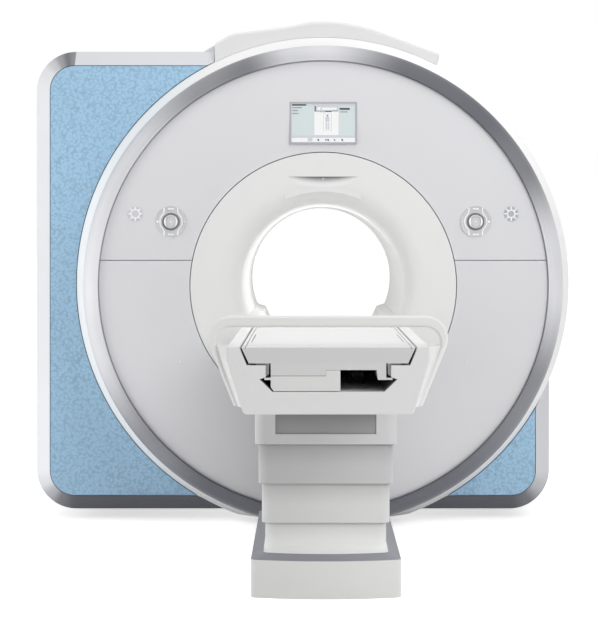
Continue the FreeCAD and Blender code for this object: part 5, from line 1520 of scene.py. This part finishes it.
class SCANNER_OT_controls(bpy.types.Operator):
    """Finish the dials and keys and add their marks and lamps"""
    bl_idname = "scanner.controls"
    bl_label = "Controls"

    def dish(self, s, front, side, finishes):
        """Dish, a dark ring of painted shadow in its well and its two ridges."""
        middle = middle_of("control_dish_" + side)
        bowl = turned_piece("dish_" + side, dish_path(s, front), finishes["dish"], 96,
                            middle.x, middle.z)
        low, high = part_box("up_key_" + side)
        outline = rounded_box((high.x - low.x) / 2 + FIT, (high.z - low.z) / 2 + FIT, 0.003)
        slots = []
        for key in ("up", "down"):
            place = middle_of(f"{key}_key_{side}")
            path = [(place.x + x, place.z + z) for x, z in outline]
            slot = prism_mesh("cutter", path, front - 0.01, front + 0.02)
            slots.append(new_object("cutter", slot))
        stand_for(carve(bowl, slots), "control_dish_" + side)
        face = front + 0.01
        edge = 0.0012
        inner, outer = 0.0296, s.well_radius - FIT
        # painted shadow: a dark ring at the bottom of the well round the dial
        seal = turned_piece("well_ring_" + side, [
            (inner, face + edge), (0.0306, face), (s.well_radius - edge, face),
            (outer, face + edge), (outer, face + 0.012), (inner, face + 0.012),
        ], finishes["well"], 72, middle.x, middle.z)
        smooth(seal.data)
        add_piece(seal, "gantry")
        for name, hand in (("inner", 1), ("outer", -1)):
            line = [(middle.x + x, y, middle.z + z) for x, y, z in ridge_line(s, front, hand)]
            ridge = bead_along(f"dish_ridge_{side}_{name}", line, s.ridge_radius,
                               finishes["white"], False)
            add_piece(ridge, "gantry")

    def dial(self, side, finishes):
        """Crescents on the dial's edge and the dot on its cap."""
        dress(finishes["dial"], "control_dial_" + side)
        dress(finishes["cap"], "dial_cap_" + side)
        low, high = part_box("control_dial_" + side)
        middle = middle_of("control_dial_" + side)
        radius = (high.x - low.x) / 2 - 0.0006
        marks = [crescent(radius, 0.0075, math.radians(start), math.radians(104))
                 for start in (-52, 128)]
        bows = raised_marks("dial_marks_" + side, marks, middle, low.y - 0.0003, low.y + 0.006,
                            finishes["white"])
        add_piece(bows, side + "_dial")
        face = front_of("dial_cap_" + side)
        dot = raised_marks("cap_dot_" + side, [circle(0.0028)], middle, face - 0.0002,
                           face + 0.003, finishes["white"])
        add_piece(dot, side + "_cap")

    def lamps(self, s, front, side, sign, lit, unlit):
        """Indicator lamp to each side of the dial."""
        middle = middle_of("dial_cap_" + side)
        r = s.lamp_radius
        depth = dish_depth(s, front, s.lamp_reach)
        dome = [(0, depth - r), (r * 0.6, depth - r * 0.8), (r * 0.95, depth - r * 0.3),
                (r, depth), (r, depth + 0.003), (0, depth + 0.003)]
        for number, (hand, material) in enumerate(((sign, lit), (-sign, unlit))):
            lamp = turned_piece(f"lamp_{side}_{number}", dome, material, 32,
                                middle.x + hand * s.lamp_reach, middle.z)
            smooth(lamp.data, 50)
            add_piece(lamp, "gantry")

    def key_arrows(self, side, finishes):
        """Arrow on the up and on the down key."""
        dress(finishes["white"], "up_key_" + side, "down_key_" + side)
        for key, lean in (("up", 1), ("down", -1)):
            low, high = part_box(f"{key}_key_{side}")
            tall = (high.z - low.z) * 0.28
            arrow = [(-tall * 1.3, -tall * lean), (tall * 1.3, -tall * lean), (0, tall * lean)]
            mark = raised_marks(f"{key}_arrow_{side}", [arrow], middle_of(f"{key}_key_{side}"),
                                low.y - 0.0004, low.y + 0.0005, finishes["cap"])
            add_piece(mark, f"{side}_{key}")

    def pictogram(self, s, name, node, body, inner, finishes):
        """White ring with rays on a round key."""
        low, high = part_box(node)
        middle = middle_of(node)
        dress(finishes["field"], node)
        face, root = low.y - s.mark_thickness, low.y + 0.003
        hole, rim = inner - 0.0034, inner + 0.0016
        ring = turned_piece(name + "_ring", [(hole, face), (rim, face), (rim, root), (hole, root)],
                            finishes["white"], 48, middle.x, middle.z)
        add_piece(ring, body)
        sunk = 0.0032
        rays = grown(blank(name + "_rays"), "radial_marks", finishes["white"], count=s.ray_count,
                     inner_radius=inner, outer_radius=(high.x - low.x) / 2 * 0.97, width=0.0052,
                     thickness=sunk + s.mark_thickness,
                     centre=(middle.x, low.y + (sunk - s.mark_thickness) / 2, middle.z))
        add_piece(rays, body)

    def execute(self, context):
        s = context.scene.scanner_controls
        front = context.scene.scanner_covers.front
        finishes = {
            "white": finish_of("key_plastic", moulded, s.key_colour, roughness=0.3, coat=0.2),
            "cap": finish_of("cap_plastic", moulded, s.cap_colour, roughness=0.34, coat=0.1),
            "dial": finish_of("dial_plastic", moulded, s.dial_colour, roughness=0.4,
                              grain=0.0008, depth=0.0001),
            "dish": finish_of("dish_plastic", moulded, s.dish_colour, roughness=0.36, drift=0.01),
            "well": finish_of("well_rubber", moulded, s.well_painted_shadow_tone, roughness=0.6, grain=0.001,
                              depth=0.0001),
            "blade": finish_of("blade_print", moulded, linear(180, 181, 186), roughness=0.4),
            "field": finish_of("key_field", moulded, linear(207, 207, 210), roughness=0.36,
                               drift=0.015),
        }
        lit = finish_of("lamp_lit", glowing, linear(250, 252, 255), 0.6)
        unlit = finish_of("lamp_unlit", glowing, linear(226, 227, 230), 0.05)
        for side, sign in (("left", -1), ("right", 1)):
            self.dish(s, front, side, finishes)
            self.dial(side, finishes)
            self.lamps(s, front, side, sign, lit, unlit)
            self.key_arrows(side, finishes)
        self.pictogram(s, "sun", "light_key", "light_button", 0.0185, finishes)
        inner = 0.0165
        self.pictogram(s, "fan", "fan_key", "fan_button", inner, finishes)
        step = math.tau / s.ray_count
        blades = [sector(inner + 0.003, inner + 0.0138, (i + 0.5) * step, step * 0.33)
                  for i in range(s.ray_count)]
        face = front_of("fan_key")
        fan = raised_marks("fan_blades", blades + [circle(inner - 0.0042)], middle_of("fan_key"),
                           face - 0.0003, face + 0.002, finishes["blade"])
        add_piece(fan, "fan_button")
        return {"FINISHED"}


# ---- table ----

class SCANNER_OT_table(bpy.types.Operator):
    """Finish the table, its rails, belt and handle loop"""
    bl_idname = "scanner.table"
    bl_label = "Table"

    def execute(self, context):
        s = context.scene.scanner_table
        upwards, forwards = (0.0, 0.0, 1.0), (0.0, -1.0, 0.0)
        # painted light: the shell's and end cap's upward faces are lighter
        dress(finish_of("table_shell_plastic", moulded, s.shell_colour, roughness=0.36, drift=0.02,
                        coat=0.1, facing=(upwards, linear(240, 240, 240))),
              "table_shell", "table_end_cap")
        dress(finish_of("loop_plastic", moulded, s.loop_colour, roughness=0.34, drift=0.015,
                        coat=0.1), "end_loop")
        # painted shade: the board's end face, which looks forwards, is darker
        dress(finish_of("board_laminate", moulded, s.board_colour, roughness=0.42, drift=0.008,
                        depth=0.00001, facing=(forwards, linear(203, 203, 203))), "tabletop_board")
        step_x, joint = -0.0075, 0.8384
        dress(finish_of("box_paint", boxed, s.box_colour, step_x, joint,
                        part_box("carriage_unit")[1].z), "carriage_unit")
        dress(finish_of("carrier_paint", moulded, s.carrier_colour, roughness=0.4, drift=0.02),
              "tabletop_carrier")
        dress(finish_of("rail_metal", drawn_metal, linear(150, 151, 156), 0.34), "guide_rails")
        # painted shadow: the trough's inside is near black, with painted light on its upward faces
        dress(finish_of("cavity_paint", moulded, s.trough_inside_painted_shadow, roughness=0.75, drift=0.05,
                        grain=0.003, depth=0.0002, facing=(upwards, linear(205, 205, 207))),
              "table_trough")
        dress(finish_of("pulley_metal", drawn_metal, linear(84, 85, 88), 0.45),
              "near_pulley", "far_pulley")
        dress(finish_of("belt_rubber", moulded, linear(30, 30, 32), roughness=0.8, drift=0.1,
                        grain=0.002, depth=0.0003), "drive_belt")
        return {"FINISHED"}


class SCANNER_OT_pedestal(bpy.types.Operator):
    """Finish the plinth and the telescoping sleeves and add their wiper lips"""
    bl_idname = "scanner.pedestal"
    bl_label = "Pedestal"

    def execute(self, context):
        s = context.scene.scanner_table
        cap_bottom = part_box("table_end_cap")[0].z
        above = cap_bottom
        # each sleeve's tone is a lit or shaded copy of one plastic, and each darkens towards the
        # sleeve above it, a painted shade; the wear near the floor is dust and scuffs
        for number, name, tint in (
                (4, "top", s.top_sleeve_painted_shade), (3, "upper", s.upper_sleeve_painted_shade),
                (2, "lower", s.lower_sleeve_painted_shade), (1, "foot", s.foot_sleeve_painted_light)):
            node = f"column_sleeve_{number}"
            dress(finish_of(name + "_sleeve_plastic", moulded, tint, roughness=0.4, drift=0.02,
                            wear=(0.4, 0.05),
                            fade=(above - 0.09, above, 0.0, darker(tint, 0.8))), node)
            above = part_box(node)[0].z
        dress(finish_of("plate_plastic", moulded, s.plate_colour, roughness=0.38,
                        wear=(0.25, 0.06)), "plinth_plate")
        dress(finish_of("plinth_plastic", moulded, s.plinth_colour, roughness=0.4, drift=0.02,
                        wear=(0.14, 0.12)), "table_plinth")
        dress(finish_of("trim_plastic", moulded, s.trim_colour, roughness=0.4, drift=0.03,
                        coat=0.1, wear=(0.25, 0.1)), "plinth_trim")
        dress(finish_of("ram_chrome", drawn_metal, linear(215, 217, 220), 0.12,
                        (90.0, 90.0, 3.0), 1.0), "lift_rams", "lift_stages")
        self.window(s, cap_bottom)
        # real wiper lips, whose dark grey also stands in for the shadow line under each sleeve's
        # edge: partly painted shadow
        rubber = finish_of("lip_rubber", moulded, linear(96, 96, 99), roughness=0.6, drift=0.06)
        inset = 0.0036
        for number, body in ((2, "lower_sleeve"), (3, "upper_sleeve"), (4, "table")):
            node = f"column_sleeve_{number}"
            low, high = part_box(node)
            middle = middle_of(node)
            lip = grown(blank(f"wiper_lip_{number}"), "wiper_lip", rubber,
                        width=high.x - low.x - 2 * inset, depth=high.y - low.y - 2 * inset,
                        corner=0.03, bead_radius=s.lip_radius,
                        centre=(middle.x, middle.y, low.z + s.lip_radius * 0.4))
            outward(lip.data)
            smooth(lip.data, 60)
            add_piece(lip, body)
        return {"FINISHED"}

    def window(self, s, cap_bottom):
        """Panel a little behind the window of the top sleeve: a sheet of painted shadow, darker
        towards the top.
        """
        low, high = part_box("column_sleeve_4")
        sill = low.z + 0.036
        bottom = sill - 0.008
        middle = (bottom + high.z - 0.006) / 2
        half_width, corner = 0.186, 0.002
        path = [(x, middle + z) for x, z in rounded_box(half_width, middle - bottom, corner)]
        set_back, thickness = 0.0055, 0.0012
        face = low.y + set_back
        panel = new_object("window_shadow_panel", prism_mesh("window_shadow_panel", path, face, face + thickness))
        panel.data.materials.append(finish_of(
            "window_plastic", moulded, s.recess_painted_shadow_foot, roughness=0.5, drift=0.03,
            fade=(sill, cap_bottom, 0.0, s.recess_painted_shadow_top)))
        add_piece(panel, "table")


# ---- stage ----

PHOTO_WIDTH = 598            # pixels
CAMERA_SHIFT = (-11, -76.5)  # shift of the lens in the same pixels
PLAIN_WHITE = (1, 1, 1, 1)


def lamp(name, place, target, size, power):
    """Soft rectangular lamp that is seen neither directly nor as a reflection."""
    data = bpy.data.lights.new(name, "AREA")
    data.shape = "RECTANGLE"
    data.size, data.size_y = size
    data.energy = power
    item = bpy.data.objects.new(name, data)
    item.location = place
    item.rotation_euler = (Vector(target) - Vector(place)).to_track_quat("-Z", "Y").to_euler()
    item.visible_camera = False
    item.visible_glossy = False
    bpy.context.scene.collection.objects.link(item)


class SCANNER_OT_stage(bpy.types.Operator):
    """Add the floor, the even light, the lamps and the camera"""
    bl_idname = "scanner.stage"
    bl_label = "Stage"

    def execute(self, context):
        s = context.scene.scanner_stage
        scene = context.scene
        scene.view_settings.view_transform = "Standard"

        world = bpy.data.worlds.new("studio")
        world.use_nodes = True
        scene.world = world
        graph = Graph(world.node_tree)
        back = world.node_tree.nodes["Background"].inputs
        back["Color"].default_value = PLAIN_WHITE
        light = graph.remap(graph.seen_plainly(), 0.0, 1.0, s.ambient, 1.0)
        graph.feed(back["Strength"], light)

        mesh = bpy.data.meshes.new("studio_floor")
        reach = 90.0
        corners = [(-reach, -reach, 0), (reach, -reach, 0), (reach, reach, 0), (-reach, reach, 0)]
        mesh.from_pydata(corners, [], [(0, 1, 2, 3)])
        floor = new_object("studio_floor", mesh)
        material, graph, shader = new_material("studio_floor")
        shader["Base Color"].default_value = rgba([s.floor_tone] * 3)
        shader["Roughness"].default_value = 0.8
        shader["Emission Color"].default_value = PLAIN_WHITE
        glow = graph.math("MULTIPLY", graph.seen_plainly(), s.floor_glow)
        graph.feed(shader["Emission Strength"], glow)
        mesh.materials.append(material)

        large = (4.0, 4.0)
        lamp("key_lamp", (3.4, -6.4, 4.4), (0, -1, 1), large, s.key_power)
        lamp("fill_lamp", (-6.8, -2.2, 2.2), (0, -1, 1), large, s.fill_power)
        lamp("top_lamp", (0.4, -1.4, 5.6), (0, -1.2, 0), large, s.top_power)
        lamp("bore_lamp", (0.2, 0.0, 1.1), (-0.35, -0.2, 1.12), (0.6, 0.3), s.bore_power)
        lamp("mouth_lamp", (0, -1.6, 1.3), (0, -0.6, 1.3), (0.5, 0.3), s.mouth_power)

        camera = bpy.data.cameras.new("photo_camera")
        camera.sensor_fit = "HORIZONTAL"
        camera.sensor_width = 36
        camera.lens = s.lens
        camera.shift_x, camera.shift_y = [shift / PHOTO_WIDTH for shift in CAMERA_SHIFT]
        camera.clip_end = 200
        item = bpy.data.objects.new("photo_camera", camera)
        item.location = (s.camera_x, s.camera_y, s.camera_z)
        item.rotation_euler = (math.pi / 2, 0, 0)
        scene.collection.objects.link(item)
        scene.camera = item
        return {"FINISHED"}


# ---- panel and registration ----

OPERATORS = (
    SCANNER_OT_stage, SCANNER_OT_round_covers, SCANNER_OT_bore, SCANNER_OT_housing,
    SCANNER_OT_screen, SCANNER_OT_controls, SCANNER_OT_table, SCANNER_OT_pedestal,
)


class SCANNER_PT_panel(bpy.types.Panel):
    """Lists the pieces of the scanner and their settings"""
    bl_idname = "SCANNER_PT_panel"
    bl_label = "Scanner"
    bl_space_type = "VIEW_3D"
    bl_region_type = "UI"
    bl_category = "Scanner"

    def draw(self, context):
        for operator in OPERATORS:
            self.layout.operator(operator.bl_idname)
        for name, kind in SETTINGS.items():
            box = self.layout.box()
            box.label(text=name.replace("_", " ").capitalize())
            for field in kind.__annotations__:
                box.prop(getattr(context.scene, name), field)


def register():
    for kind in SETTINGS.values():
        bpy.utils.register_class(kind)
    for name, kind in SETTINGS.items():
        setattr(bpy.types.Scene, name, PointerProperty(type=kind))
    for kind in OPERATORS + (SCANNER_PT_panel,):
        bpy.utils.register_class(kind)


def unregister():
    for kind in reversed(OPERATORS + (SCANNER_PT_panel,)):
        bpy.utils.unregister_class(kind)
    for name in SETTINGS:
        delattr(bpy.types.Scene, name)
    for kind in SETTINGS.values():
        bpy.utils.unregister_class(kind)


def main():
    register()
    make_trees()
    for operator in OPERATORS:
        group, name = operator.bl_idname.split(".")
        result = getattr(getattr(bpy.ops, group), name)()
        if result != {"FINISHED"}:
            raise RuntimeError(f"{operator.bl_label} did not finish")


if __name__ == "__main__":
    main()
